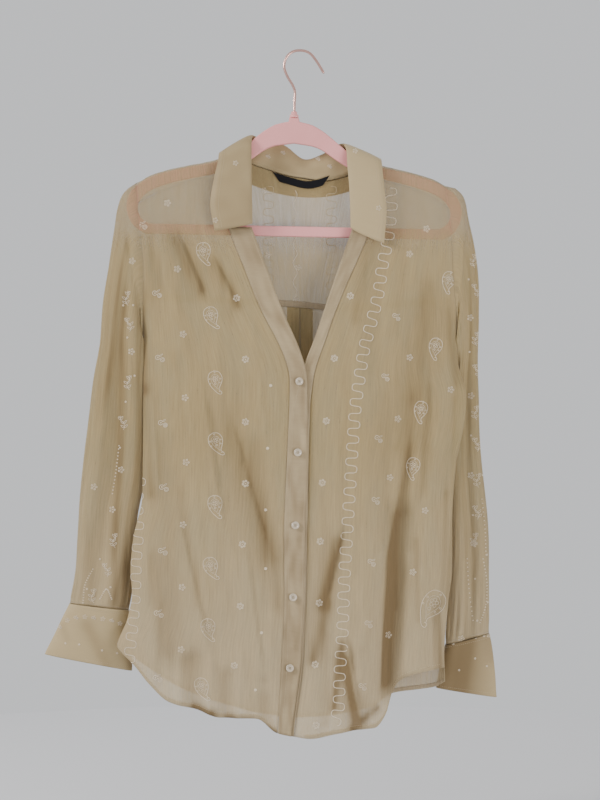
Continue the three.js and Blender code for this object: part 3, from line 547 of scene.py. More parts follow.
def crinkleRise(across, down, seed):
    broad = noise.noise(Vector((across / crinkle["width"], down / crinkle["length"], seed)))
    fine = noise.noise(Vector((across / crinkle["fineWidth"], down / crinkle["fineLength"],
                               seed + 9)))
    return crinkle["rise"] * broad + crinkle["fineRise"] * fine


# Overlapping folds: a soft rise up to a line, and a sharp drop just past it on its right, with a
# painted shadow past the drop.
steps = {
    "front": [
        (134, -500, 108, -640, 12, 3.6), (108, -640, 100, -800, 12, 3.6),
        (52, -600, 30, -690, 9, 2.2), (160, -420, 148, -560, 9, 2.2),
        (196, -520, 182, -700, 8, 2.5),
        (-152, -240, -122, -310, 9, 2.4), (-106, -270, -80, -322, 8, 2.2),
        (-186, -440, -178, -560, 8, 1.8), (-120, -440, -96, -600, 9, 1.6),
        (-84, -480, -44, -620, 9, 1.8), (-150, -600, -118, -740, 9, 1.8),
        (-66, -640, -48, -780, 8, 1.8), (58, -745, 74, -830, 8, 2.6),
    ],
    "back": [(-140, -420, -120, -700, 11, 3), (70, -440, 84, -760, 11, 3)],
}


def stepRise(rows, x, z):
    rise, shade = 0, 0
    for x0, z0, x1, z1, width, height in rows:
        dx, dz = x1 - x0, z1 - z0
        length = math.hypot(dx, dz)
        along = ((x - x0) * dx + (z - z0) * dz) / length
        past = -((x - x0) * dz - (z - z0) * dx) / length
        if abs(past) > width * 3:
            continue
        ends = ease((along + 25) / 45) * ease((length + 25 - along) / 45)
        fall = math.exp(-(past / width) ** 2) * ends
        drop = ease((past + 0.6) / 3.6)
        rise += height * fall * (1 - 1.7 * drop)
        shade += fall * drop * height * 0.11
    return rise, shade


def bodyHalf(face, x, z):
    side = "right" if x < 0 else "left"
    across = clamp(abs(x / sideX(side, z)), 0, 1)
    drop = max(ridgeZ(x) - shoulderRadius - z, 0)
    middle = middleDepth[face](drop)
    atSide = armholeHalf(side, z)
    power = mix(0.5, 1, ease((z - bodyForm["underarm"]) / 70))
    bulge = (1 - across ** 2.4) ** power
    calm = (1 - across ** 6) * ease(drop / 60)
    rise = foldRise(folds[face], x, z)
    ripple = 1.6 * ease((-690 - z) / 140) * math.sin(x / 11 + 1.7 * math.sin(x / 47))
    small = foldRise(creases[face], x, z) * 0.8 + stepRise(steps[face], x, z)[0]
    return atSide + (middle - atSide) * bulge + (rise + small + ripple) * calm


# Painted fold shade, where the cloth is darkened as if in shade: x and z of the top and the foot,
# width, share.
foldShadeLines = {
    "front": [
        (-203, -300, -197, -430, 7, 0.55), (-198, -430, -190, -560, 9, 0.45),
        (-190, -236, -176, -300, 9, 0.35), (-158, -240, -126, -304, 8, 0.5),
        (-109, -268, -80, -322, 7, 0.45), (-92, -480, -36, -640, 12, 0.22),
        (-60, -500, -30, -700, 13, 0.25), (-150, -560, -128, -700, 10, 0.16),
        (-132, -830, -110, -838, 6, 0.75), (-90, -842, -62, -848, 5, 0.6),
        (-44, -856, -28, -862, 5, 0.7), (-185, -640, -170, -760, 10, 0.2),
        (160, -300, 146, -440, 13, 0.28), (142, -440, 128, -580, 10, 0.22),
        (186, -330, 200, -420, 7, 0.4), (196, -440, 186, -560, 6, 0.2),
        (121, -590, 116, -700, 7, 0.3), (114, -700, 108, -800, 7, 0.25),
        (146, -620, 150, -720, 5, 0.3), (185, -560, 180, -700, 5, 0.3),
        (46, -620, 28, -700, 8, 0.55), (34, -700, 18, -770, 7, 0.4),
        (53, -748, 42, -830, 6, 0.5), (56, -770, 72, -850, 6, 0.75),
        (88, -240, 70, -340, 8, 0.3), (172, -700, 176, -780, 7, 0.4),
        (100, -480, 84, -560, 10, 0.2), (96, -830, 66, -856, 5, 0.5),
    ],
    "back": [
        (-150, -400, -132, -700, 17, 0.1), (-58, -560, -62, -840, 12, 0.12),
        (62, -420, 70, -830, 14, 0.12), (150, -430, 142, -780, 16, 0.1),
        (-20, -330, -24, -560, 6, 0.22), (20, -330, 24, -560, 6, 0.22),
    ],
}


def foldShadeShare(face, point):
    # painted shade: darker along the listed lines, in fold troughs, past the drops of the
    # overlapping folds, in random streaks, and more so lower down
    share = foldRise(foldShadeLines[face], point.x, point.z)
    dip = foldRise(folds[face], point.x, point.z) + foldRise(creases[face], point.x, point.z)
    streak = noise.noise(Vector((point.x / 6, point.z / 90, 7)))
    past = stepRise(steps[face], point.x, point.z)[1]
    lower = 1 + 0.5 * ease((-560 - point.z) / 160)
    return (share * (1.05 + 0.6 * streak) + past * 1.25 - dip * 0.034) * lower + streak * 0.06


bands = {
    "right": {
        "seam": [(-224, -91), (-315, -55), (-420, -13), (-520, -16.5), (-613, -20),
                 (-688, -19.5), (-766, -23), (-843, -27), (-880, -29)],
        "edge": [(-224, -61), (-315, -27.5), (-420, 9), (-520, 10), (-613, 6.4), (-688, 5.5),
                 (-766, 1.3), (-843, -8.5), (-880, -13)],
        "top": -224, "sign": -1,
    },
    "left": {
        "seam": [(-226, 89), (-260, 75), (-315, 51), (-361, 34), (-420, 16), (-460, 12.5),
                 (-613, 9), (-766, 4), (-843, -5.5), (-880, -9)],
        "edge": [(-226, 66), (-260, 54), (-315, 35), (-361, 19.5), (-420, -2), (-460, -10),
                 (-613, -16), (-766, -18), (-843, -23), (-880, -25)],
        "top": -226.5, "sign": 1,
    },
}
bandSeam = {side: Line(row["seam"]) for side, row in bands.items()}
bandEdge = {side: Line(row["edge"]) for side, row in bands.items()}
frontHem = Line([(-236, -750), (-229, -759), (-209, -778), (-190, -801), (-165, -823),
                 (-127, -833), (-99, -842), (-55, -843), (-30, -860), (-10, -865), (13, -868),
                 (48, -862), (75, -857), (94, -855), (108, -838), (116, -812), (128, -795),
                 (152, -786), (186, -781)])
backHem = Line([(-236, -750), (-200, -780), (-150, -812), (-90, -834), (0, -850), (90, -836),
                (120, -817), (152, -812), (172, -808), (186, -799)])
yokeSeam = Line([(-210, -314), (0, -324), (40, -328), (210, -318)])


def lapRise(z):
    # how far the right front stands over the left one
    return bodyForm["lapLift"] * ease((-330 - z) / 70)


def lapOver(x, z):
    return lapRise(z) * (1 - ease((bandSeam["right"](z) - x) / 70))


def frontPoint(x, z, lap):
    clear = hangerShape["half"] + 2 if z > -240 else 0
    side = "right" if x < 0 else "left"
    half = max(bodyHalf("front", x, z), min(clear, armholeHalf(side, z)))
    return Vector((x, -half - (lapOver(x, z) if lap else 0), z))


def backPoint(x, z):
    return Vector((x, bodyHalf("back", x, z), z))


def overShoulder(x, h):
    ridge = ridgeZ(x)
    if abs(h) <= quarterTurn:
        turn = h / shoulderRadius
        return Vector((x, shoulderRadius * math.sin(turn),
                       ridge - shoulderRadius + shoulderRadius * math.cos(turn)))
    z = ridge - shoulderRadius - (abs(h) - quarterTurn)
    return frontPoint(x, z, False) if h < 0 else backPoint(x, z)


def shoulderSeamH(x):
    return -(bodyForm["seamDrop"] + 9 * clamp((abs(x) - 108) / 80, 0, 1) ** 2)


def shoulderSeamZ(x):
    return ridgeZ(x) - shoulderRadius - (-shoulderSeamH(x) - quarterTurn)


sheets = {}   # every piece of cloth by its name


def clothMesh(name, rows, thick, material, ring=False, crease=None, gather=None):
    # a grid of middle points becomes a thin closed cloth
    down, across = len(rows), len(rows[0])

    def at(i, j):
        return rows[clamp(i, 0, down - 1)][j % across if ring else clamp(j, 0, across - 1)]

    def facings():
        found = []
        for i in range(down):
            for j in range(across):
                way = (at(i, j + 1) - at(i, j - 1)).cross(at(i + 1, j) - at(i - 1, j))
                found.append(way.normalized() if way.length > 1e-9 else Vector((0, -1, 0)))
        return found

    normals = facings()
    if crease:
        moved = []
        for i in range(down):
            calm = ease(min(i, down - 1 - i) / 3)
            row = []
            for j in range(across):
                edge = 1 if ring else ease(min(j, across - 1 - j) / 4)
                row.append(rows[i][j] + normals[i * across + j] * crease(i, j) * calm * edge)
            moved.append(row)
        rows = moved
        normals = facings()
    points = []
    for face in (0.5, -0.5):
        for i in range(down):
            for j in range(across):
                points.append((rows[i][j] + normals[i * across + j] * face * thick) * mm)
    half = down * across
    columns = across if ring else across - 1
    faces = []
    for i in range(down - 1):
        for j in range(columns):
            k = (j + 1) % across
            a, b = i * across + j, i * across + k
            c, d = a + across, b + across
            faces.append((a, b, d, c))
            faces.append((half + a, half + c, half + d, half + b))
    for j in range(columns):
        k = (j + 1) % across
        low = (down - 1) * across
        faces.append((k, j, half + j, half + k))
        faces.append((low + j, low + k, half + low + k, half + low + j))
    if not ring:
        for i in range(down - 1):
            a, b, end = i * across, (i + 1) * across, across - 1
            faces.append((a, b, half + b, half + a))
            faces.append((b + end, a + end, half + a + end, half + b + end))
    volume = sum(points[f[0]].dot(points[f[1]].cross(points[f[2]]))
                 + points[f[0]].dot(points[f[2]].cross(points[f[3]])) for f in faces)
    if volume < 0:
        faces = [tuple(reversed(f)) for f in faces]
    # the cloth's own measure: metres along each row and down the middle column
    rowWidth = [sum((at(i, j + 1) - at(i, j)).length for j in range(columns)) for i in range(down)]
    widest = max(rowWidth) * mm
    drop = [0.0]
    middle = across // 2
    for i in range(1, down):
        drop.append(drop[-1] + (rows[i][middle] - rows[i - 1][middle]).length * mm)
    mesh = bpy.data.meshes.new(name)
    mesh.from_pydata(points, [], faces)
    measure = mesh.uv_layers.new(name="clothMeasure")
    for polygon in mesh.polygons:
        polygon.use_smooth = True
        wraps = ring and any(v % across == across - 1 for v in polygon.vertices)
        for loop, vertex in zip(polygon.loop_indices, polygon.vertices):
            i, j = divmod(vertex % half, across)
            if wraps and j == 0:
                j = across
            measure.data[loop].uv = (widest * j / columns, drop[i])
    # each point's painted shade, from gather, is kept in a point attribute that darkens the cloth's
    # colour
    shade = mesh.attributes.new("paintedShade", "FLOAT", "POINT")
    if gather:
        shares = [clamp(gather(i, j), 0, 1) for i in range(down) for j in range(across)]
        shade.data.foreach_set("value", shares + shares)
    mesh.materials.append(material)
    cloth = addObject(name, mesh)
    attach(cloth, "root")
    sheets[name] = cloth
    return cloth


def grid(down, across, place):
    return [[place(i / down, j / across) for j in range(across + 1)] for i in range(down + 1)]


# Each point of a front is found by a few tries, more of them in its first row.
panelPlan = {
    "down": 150, "across": 84, "thick": 0.5, "seamGap": 0.25, "neckRows": 14, "firstZ": -300,
    "firstTries": 24, "tries": 6, "seeds": {"right": 3, "left": 17},
}


def frontPanel(side, material):
    down, across = panelPlan["down"], panelPlan["across"]
    sign = bands[side]["sign"]

    def innerX(z):
        return bandSeam[side](z) + panelPlan["seamGap"] * sign

    cornerX = innerX(bands[side]["top"])
    cornerTop = shoulderSeamZ(cornerX) - panelPlan["seamGap"]
    corner = (bands[side]["top"] - cornerTop) / (frontHem(cornerX) - cornerTop)
    neckRows, firstZ = panelPlan["neckRows"], panelPlan["firstZ"]
    rows = []
    for i in range(down + 1):
        if i <= neckRows:
            v = corner * i / neckRows
        else:
            v = mix(corner, 1, (i - neckRows) / (down - neckRows))
        row = []
        for j in range(across + 1):
            share = 1 - (1 - j / across) ** 1.3
            x = rows[-1][j].x if rows else mix(innerX(firstZ), sideX(side, firstZ), share)
            z = 0
            for tried in range(panelPlan["tries"] if rows else panelPlan["firstTries"]):
                z = mix(shoulderSeamZ(x) - panelPlan["seamGap"], frontHem(x), v)
                x = mix(innerX(z), sideX(side, z), share)
            row.append(frontPoint(x, z, side == "right"))
        rows.append(row)
    seed = panelPlan["seeds"][side]
    return clothMesh(side + "Front", rows, panelPlan["thick"], material,
                     crease=lambda i, j: crinkleRise(rows[i][j].x, rows[i][j].z, seed),
                     gather=lambda i, j: foldShadeShare("front", rows[i][j]))


def bandPoint(side, z, share):
    point = frontPoint(mix(bandSeam[side](z), bandEdge[side](z), share), z, False)
    if side == "right":
        point.y -= lapRise(z)
    return point


bandPlan = {
    "down": 170, "across": 12, "thick": 1.4, "foot": -860, "pucker": 0.28, "swell": 0.3,
    "seeds": {"right": 21, "left": 34},
}


def frontBand(side):
    plan = bandPlan

    def place(v, u):
        low = frontHem(bandPoint(side, plan["foot"], u).x)
        point = bandPoint(side, mix(bands[side]["top"], low, v), u)
        pucker = plan["pucker"] * math.sin(v * 190 + 5 * math.sin(v * 23)) * (1 - abs(2 * u - 1))
        point.y -= pucker - plan["swell"] * (1 - (2 * u - 1) ** 4)
        return point

    def paintedShadeAt(i, j):
        # painted shade: random darker mottles standing in for the shade of the band's puckers
        mottle = noise.noise(Vector((j / 3.5, i / 7, plan["seeds"][side])))
        return 0.16 + 0.55 * mottle
    return clothMesh(side + "Band", grid(plan["down"], plan["across"], place), plan["thick"],
                     bandCloth, gather=paintedShadeAt)


# The pleat's section at the yoke: across, and how deep it lies.
backPlan = {
    "down": 120, "sideCount": 46, "pleatSteps": 48, "reach": 30, "seamGap": 0.05, "swell": 9,
    "pleat": [(-30, 0), (-14, 0), (-2.1, 0), (-0.4, 1.3), (-2.1, 2.6), (-14.5, 2.6),
              (-16.3, 3.9), (-14.5, 5.2), (0, 5.6), (14.5, 5.2), (16.3, 3.9), (14.5, 2.6),
              (2.1, 2.6), (0.4, 1.3), (2.1, 0), (14, 0), (30, 0)],
    "firstTries": 14, "tries": 5, "seed": 31,
}


def backPanel():
    down, sideCount = backPlan["down"], backPlan["sideCount"]
    reach, pleatSteps = backPlan["reach"], backPlan["pleatSteps"]
    rows = []

    def levelAt(x, v):
        return mix(yokeSeam(x) - backPlan["seamGap"], backHem(x), v)

    def lineTo(v, give, x, tries):
        z = 0
        for tried in range(tries):
            z = levelAt(x, v)
            x = give(z)
        return backPoint(x, z)

    for i in range(down + 1):
        v = i / down
        row = []
        tries = backPlan["tries"] if rows else backPlan["firstTries"]
        for step in range(sideCount, 0, -1):
            share = 1 - (1 - step / sideCount) ** 1.4
            guess = rows[-1][sideCount - step].x if rows else -100
            row.append(lineTo(v, lambda z: mix(-reach, sideX("right", z), share), guess, tries))
        openShare = 0.9 * ease((v - 0.04) / 0.9)
        for step in range(pleatSteps + 1):
            foldX, foldY = station(backPlan["pleat"], step / pleatSteps)
            flat = mix(-reach, reach, step / pleatSteps)
            swell = backPlan["swell"] * math.sin(math.pi * step / pleatSteps) ** 2
            x = mix(foldX, flat, openShare)
            z = levelAt(x, v)
            base = backPoint(x, z)
            row.append(Vector((x, base.y + mix(foldY, swell, openShare), z)))
        for step in range(1, sideCount + 1):
            share = 1 - (1 - step / sideCount) ** 1.4
            guess = rows[-1][sideCount + pleatSteps + step].x if rows else 100
            row.append(lineTo(v, lambda z: mix(reach, sideX("left", z), share), guess, tries))
        rows.append(row)

    def crease(i, j):
        inPleat = sideCount <= j <= sideCount + pleatSteps
        rise = crinkleRise(rows[i][j].x, rows[i][j].z, backPlan["seed"])
        return rise * (0.3 if inPleat else 1)
    return clothMesh("backPanel", rows, panelPlan["thick"], chiffon, crease=crease,
                     gather=lambda i, j: foldShadeShare("back", rows[i][j]))


# The neck seam round the shoulder: x, and the way over the ridge from front to back.
neckSeam = [(-90.8, -96), (-90.8, -72), (-90.2, -46), (-88, -24), (-86.5, -11), (-84, 0),
            (-78, 10), (-62, 20), (-32, 24), (0, 27), (32, 31), (62, 24), (77, 11), (83.5, 0),
            (85.8, -11), (87.5, -24), (88.8, -45), (88.8, -66), (88.8, -88)]


yokePlan = {
    "across": 110, "clear": 1.6, "seed": 44,
    "knots": [-40, -12, -9.4, -6.3, -3.1, 0, 3.1, 6.3, 9.4, 15, 35, 65, 95, 125, 155, 400],
}


def yokeUpper():
    clear = yokePlan["clear"]

    def shoulder(side):
        sign = bands[side]["sign"]
        outs = [sideX(side, -195) * sign, 180, 158, 136, 116, 100, 93, 90.2]
        return [(out * sign, shoulderSeamH(out)) for out in outs]

    over = []
    for index, (x, h) in enumerate(neckSeam):
        if h < -20:
            continue
        wayX = neckSeam[index + 1][0] - neckSeam[index - 1][0]
        wayH = neckSeam[index + 1][1] - neckSeam[index - 1][1]
        length = math.hypot(wayX, wayH)
        over.append((x - wayH / length * clear, h + wayX / length * clear))
    return shoulder("right") + over + shoulder("left")[::-1]


def backYoke():
    upper = yokeUpper()
    knots, across = yokePlan["knots"], yokePlan["across"]
    levels = []
    for a, b in zip(knots, knots[1:]):
        parts = 2 if b < 16 else 8
        levels += [mix(a, b, k / parts) for k in range(parts)]
    levels.append(knots[-1])

    def lineAt(u, level):
        x, h = station(upper, u)
        toX = mix(sideX("right", -318), sideX("left", -318), u)
        toH = ridgeZ(toX) - shoulderRadius - yokeSeam(toX) + quarterTurn
        return mix(x, toX, level), mix(h, toH, level)

    def levelAt(u, index):
        start, stop = lineAt(u, 0)[1], lineAt(u, 1)[1]
        low = start + 2.2 * index * 15 / (len(levels) - 1)
        return (clamp(levels[index], low, stop) - start) / (stop - start) if low < stop else 1

    def toSide(side, index):
        u = 0 if side == "right" else 1
        x, h = lineAt(u, levelAt(u, index))
        return sideX(side, overShoulder(x, h).z) - x

    rows = []
    for index in range(len(levels)):
        shiftRight, shiftLeft = toSide("right", index), toSide("left", index)
        row = []
        for j in range(across + 1):
            u = j / across
            x, h = lineAt(u, levelAt(u, index))
            x += shiftRight * (1 - u) ** 6 + shiftLeft * u ** 6
            row.append(overShoulder(x, h))
        rows.append(row)
    return clothMesh("backYoke", rows, panelPlan["thick"], chiffon,
                     crease=lambda i, j: 0.5 * crinkleRise(rows[i][j].x, rows[i][j].z,
                                                           yokePlan["seed"]))


# The collar's rolled fold and its edge, each as x, y, z, from the right end to the left;
# the controls say where a section's points lie from the neck (0) to the edge (6).
collarForm = {
    "roll": 2.8, "wall": 1.5, "columns": 140,
    "controls": [0, 0.35, 0.7, 1.05, 1.4, 1.7, 2, 2.2, 2.4, 2.55, 2.7, 2.85, 3, 3.15, 3.3, 3.45,
                 3.6, 3.8, 4, 4.3, 4.6, 4.95, 5.3, 5.65, 6],
    "lines": [
        (-60.5, -18.5, -219.5, -107.5, -21, -229), (-61, -19, -197, -113, -20.5, -196),
        (-61.5, -18, -165, -108.5, -17.5, -163), (-62, -14, -135, -104, -14, -143),
        (-62, -8, -115, -102.5, -8, -131.5), (-61, 0, -107, -101.5, 1, -129.5),
        (-55, 9, -107.5, -97, 12, -138.5), (-40, 14.5, -110, -76, 14.5, -160),
        (-18, 17.5, -118.5, -38, 16, -176), (5, 18.5, -135, 0, 16.5, -183),
        (28, 17.5, -129, 38, 16, -182), (44, 14, -119, 74, 14.5, -171),
        (52, 9, -116.5, 97, 12, -149), (57, 1.5, -118.5, 101.5, 1.5, -137.5),
        (59.5, -7.5, -126, 103, -8, -139.5), (60.5, -13.5, -145, 104, -14, -151),
        (62.5, -18, -170, 106, -18, -172), (64, -19, -200, 109, -20.5, -205),
        (64.5, -18.5, -225, 106, -21.5, -245),
    ],
}


def roundedCurve(points, share):
    # a centripetal curve through the points
    at = clamp(share, 0, 1) * (len(points) - 1)
    i = min(int(at), len(points) - 2)
    t = at - i
    b, c = points[i], points[i + 1]
    a = points[i - 1] if i else b * 2 - c
    d = points[i + 2] if i + 2 < len(points) else c * 2 - b
    s0, s1, s2 = (max((q - p).length, 1e-4) ** 0.5 for p, q in ((a, b), (b, c), (c, d)))
    m1 = ((b - a) / s0 - (c - a) / (s0 + s1) + (c - b) / s1) * s1
    m2 = ((c - b) / s1 - (d - b) / (s1 + s2) + (d - c) / s2) * s1
    t2, t3 = t * t, t * t * t
    return (b * (2 * t3 - 3 * t2 + 1) + m1 * (t3 - 2 * t2 + t) + c * (3 * t2 - 2 * t3)
            + m2 * (t3 - t2))


def collarSection(u):
    neck = overShoulder(*station(neckSeam, u))
    rx, ry, rz, ex, ey, ez = station(collarForm["lines"], u)
    roll, edge = Vector((rx, ry, rz)), Vector((ex, ey, ez))
    toNeck, toEdge = (neck - roll).normalized(), (edge - roll).normalized()
    apart = (toEdge - toNeck * toEdge.dot(toNeck)).normalized()
    r = collarForm["roll"]
    inner = roll + toNeck * r * 1.5 - apart * r * 0.8
    outer = roll + toEdge * r * 1.5 + apart * r * 0.8
    return [neck, neck.lerp(inner, 0.5), inner, roll, outer,
            outer.lerp(edge, 0.5) + apart * 1.2, edge]


def blouseCollar():
    columns, controls = collarForm["columns"], collarForm["controls"]
    rows = []
    for j in range(columns + 1):
        curve = collarSection(j / columns)
        rows.append([roundedCurve(curve, control / 6) for control in controls])

    def paintedShadeAt(i, j):
        # painted shade: the right leaf lies in shade, and the stand behind the neck is darkened in
        # mottles for the shade of its puckers
        share = i / columns
        mottle = noise.noise(Vector((share * 26, controls[j] * 0.9, 12)))
        leaf = 0.5 * ease((0.36 - share) / 0.1) * ease((controls[j] - 2.6) / 0.6)
        behind = ease((share - 0.3) / 0.08) * (1 - ease((share - 0.66) / 0.12))
        stand = behind * (1 - ease((controls[j] - 2.4) / 0.8)) * (0.3 + 0.55 * mottle)
        return leaf * (0.9 + 0.35 * mottle) + stand
    return clothMesh("blouseCollar", rows, collarForm["wall"], smoothCloth, gather=paintedShadeAt)


labelPlan = {"top": (-35, 38), "foot": (-26, 29), "below": 1.2, "depth": 9.5, "inside": 1.5,
             "thick": 0.6, "down": 10, "across": 60}


def neckLabel():
    plan = labelPlan
    lower = [row for row in neckSeam if row[1] > 10]

    def place(v, u):
        x = mix(mix(*plan["top"], u), mix(*plan["foot"], u), v)
        flatH = station(lower, ((x + 88) / 176 - 0.15) / 0.7)[1]
        point = overShoulder(x, flatH + plan["below"] + plan["depth"] * v)
        point.y -= plan["inside"]
        return point
    return clothMesh("neckLabel", grid(plan["down"], plan["across"], place), plan["thick"],
                     blackSatin)


# Rings down a sleeve or cuff: x and z of the outer side, x and z of the inner side, depth of the
# middle, how far the front and the back bulge, and how far both sink in.
sleeveRows = {
    "right": [
        (-217.5, -173.2, -202.4, -361, 0, 13, 13, 0),
        (-226, -183.5, -203, -362.5, 0, 13.5, 13.5, 0),
        (-230.5, -198, -203.8, -364.5, 0, 14, 14, 0),
        (-235, -226, -204.5, -369, 0.5, 14.5, 14.5, 1),
        (-241, -264, -205, -376, 1.5, 15, 15, 3), (-249, -315, -205, -390, 3, 16, 16, 5),
        (-254, -366, -204, -412, 5, 16, 16, 8), (-262, -417, -203, -448, 7, 16, 16, 10),
        (-268.5, -470, -203.5, -495, 9, 16, 16, 10), (-275.6, -528, -207, -547, 12, 16, 16, 10),
        (-281, -575, -214, -588, 15, 16, 16, 9), (-284, -620, -216, -628, 18, 15, 15, 8),
        (-287, -662, -216.5, -668, 20.5, 14, 15, 6), (-294.3, -702, -219.4, -710.5, 23, 13, 14, 3),
    ],
    "left": [
        (197, -173.5, 202.4, -361, 0, 13, 13, 0), (205.5, -182, 203, -362.5, 0, 13.5, 13.5, 0),
        (210, -194, 203.8, -364.5, 0.5, 14, 14, 0), (213.5, -214, 204.6, -368, 1, 14, 14.5, 1),
        (221, -246, 205.5, -374, 3, 13, 15, 2), (225.5, -290, 207, -384, 6, 12, 15, 3),
        (226.5, -340, 209.5, -400, 12, 10, 16, 4), (226.3, -391, 207, -435, 18, 8, 16, 5),
        (228, -440, 205, -480, 22, 8, 16, 5), (230, -500, 202, -535, 23, 9, 16, 6),
        (236, -560, 199, -590, 23, 10, 16, 6), (240.5, -615, 197, -640, 23, 11, 16, 6),
        (241, -675, 193, -697, 23.5, 12, 15, 5), (241.8, -740.5, 186.8, -755, 24, 12, 14, 3),
    ],
}
cuffRows = {
    "right": [
        (-294.6, -702.7, -219.6, -711.3, 23, 13, 14, 0),
        (-302, -718, -218.2, -730, 23.5, 12, 13, 0),
        (-311, -737, -217, -752, 24, 10.5, 11, 0), (-319, -753, -216.2, -771, 24, 9, 9, 0),
        (-326.4, -768, -216, -789, 24, 7.5, 7.5, 0),
    ],
    "left": [
        (242, -741.2, 186.6, -755.8, 24, 12, 14, 0), (246, -760, 183.5, -769, 24.5, 11, 12.5, 0),
        (248.5, -781, 180, -783, 25, 10, 11, 0), (250.3, -802, 177.3, -797, 25, 8.5, 9, 0),
        (251.5, -823, 175, -811, 25, 7.5, 7.5, 0),
    ],
}
# Painted shade in valleys down the sleeve: where it starts and stops, place and lean across, width,
# share.
sleeveShadeValleys = {
    "right": [(0.22, 0.95, 0.40, 0.42, 0.085, 0.85), (0.02, 0.3, 0.86, 0.0, 0.12, 0.55),
              (0.03, 0.52, 0.33, -0.12, 0.06, 0.7), (0.3, 0.9, 0.88, 0.0, 0.07, 0.4),
              (0.1, 0.55, 0.1, 0.1, 0.05, 0.2), (0.75, 1.1, 0.2, 0.3, 0.06, 0.3),
              (0.8, 1.1, 0.9, 0.0, 0.1, 0.6)],
    "left": [(0.25, 0.5, 0.25, 0.5, 0.08, 0.4), (0.45, 1.0, 0.66, -0.2, 0.06, 0.4),
             (0.02, 0.3, 0.3, 0.4, 0.08, 0.25), (0.55, 1.1, 0.97, 0.0, 0.07, 0.4),
             (0.8, 1.1, 0.4, 0.2, 0.05, 0.25)],
}
# The thin cloth swings a little further in behind the body than the solid does.
sleeveInward = {
    "right": [(0, 0), (0.06, 1.5), (0.16, 4.5), (0.3, 6.5), (0.5, 7), (0.72, 7), (0.85, 5), (1, 0)],
    "left": [(0, 0), (0.06, 1.5), (0.18, 5), (0.34, 8), (0.5, 9), (0.65, 8), (0.8, 5), (1, 0)],
}
# The first rings are drawn into the armhole.
sleevePlan = {"around": 104, "down": 150, "armholeGap": 0.3, "drawnRows": 6,
              "seeds": {"right": 61, "left": 83}}
cuffPlan = {"around": 88, "down": 40, "thick": 1.5}


def ringTurn(share):
    turn = math.tau * share
    return turn - 0.2 * math.sin(2 * turn)


def armholePoint(side, turn):
    sign = bands[side]["sign"]
    share = (1 - math.cos(turn)) / 2
    ridge = armholeRidge[side]
    z = mix(ridge, bodyForm["underarm"] - 0.8, share)
    depth = ridge - shoulderRadius - z
    if depth < 0:
        half = math.sqrt(max(shoulderRadius ** 2 - depth ** 2, 0))
    else:
        half = armholeHalf(side, z)
    half = 0 if share > 0.9999 or share < 0.0001 else half
    return Vector((sideX(side, z) + sign * sleevePlan["armholeGap"],
                   -half if turn < math.pi else half, z))


def sleeveRing(row, count, side=None, weight=0, topX=0, lowX=0):
    ox, oz, ix, iz, middleY, frontHalf, backHalf, hollowDepth = row
    points = []
    for j in range(count):
        turn = ringTurn(j / count)
        share = (1 - math.cos(turn)) / 2
        front = turn < math.pi
        bulge = abs(math.sin(turn)) ** 0.75
        hollow = hollowDepth * math.exp(-(((share - (0.46 if front else 0.56)) / 0.17) ** 2))
        y = middleY + (-frontHalf * bulge + hollow if front else backHalf * bulge - hollow * 0.8)
        x, z = mix(ox, ix, share), mix(oz, iz, share)
        if weight > 0:
            start = armholePoint(side, turn)
            x += (start.x - mix(topX, lowX, share)) * weight
            y = mix(y, start.y, weight)
        points.append(Vector((x, y, z)))
    return points


def sleeve(side):
    count, total = sleevePlan["around"], sleevePlan["down"]
    rings = [[armholePoint(side, ringTurn(j / count)) for j in range(count)]]
    topX, lowX = rings[0][0].x, rings[0][count // 2].x
    rows = sleeveRows[side]
    inward = Line(sleeveInward[side])
    for i in range(total + 1):
        share = i / total
        weight = clamp(1 - (share * (len(rows) - 1) + 1) / sleevePlan["drawnRows"], 0, 1)
        row = station(rows, share)
        row[2] -= inward(share) * bands[side]["sign"]
        rings.append(sleeveRing(row, count, side, weight, topX, lowX))
    seed = sleevePlan["seeds"][side]

    def crease(i, j):
        # long soft ridges that run down the sleeve, closest at the cuff's gathers
        turn = math.tau * j / count
        ringShare = i / (total + 1)
        wave = noise.noise(Vector((2.2 * math.cos(turn), 2.2 * math.sin(turn),
                                   ringShare * 5 + seed)))
        gather = (math.sin(turn * 17 + 2 * math.sin(turn * 3 + seed))
                  * ease((ringShare - 0.86) / 0.14))
        around = Vector((9 * math.cos(turn), 9 * math.sin(turn), ringShare * 9 + seed))
        return wave * 2.4 * ease(ringShare * 4) + noise.noise(around) * 0.9 + gather * 0.9

    def paintedShadeAt(i, j):
        # painted shade: darker in the listed valleys and in random streaks
        ringShare = i / (total + 1)
        across = (1 - math.cos(ringTurn(j / count))) / 2
        valley = 0
        for start, stop, place, lean, width, depth in sleeveShadeValleys[side]:
            there = ease((ringShare - start) / 0.12) * (1 - ease((ringShare - stop) / 0.12))
            middle = place + lean * (ringShare - start)
            valley += depth * there * math.exp(-(((across - middle) / width) ** 2))
        turn = math.tau * j / count
        streak = noise.noise(Vector((7 * math.cos(turn), 7 * math.sin(turn), ringShare * 7)))
        return valley * (0.9 + 0.5 * streak) + 0.12 * streak
    return clothMesh(side + "Sleeve", rings, panelPlan["thick"], chiffon, ring=True, crease=crease,
                     gather=paintedShadeAt)


# Painted shade on the cuffs, given the same way as the body's painted fold shade, with their places
# in pixels of the photograph.
cuffShadeLines = {
    "right": [(86, 626, 108, 672, 9, 0.4), (124, 630, 130, 668, 7, 0.6),
              (60, 626, 66, 640, 5, 0.2)],
    "left": [(446, 640, 440, 685, 14, 0.5), (470, 640, 462, 692, 12, 0.35),
             (488, 640, 492, 660, 8, 0.25), (466, 640, 458, 704, 34, 0.75)],
}


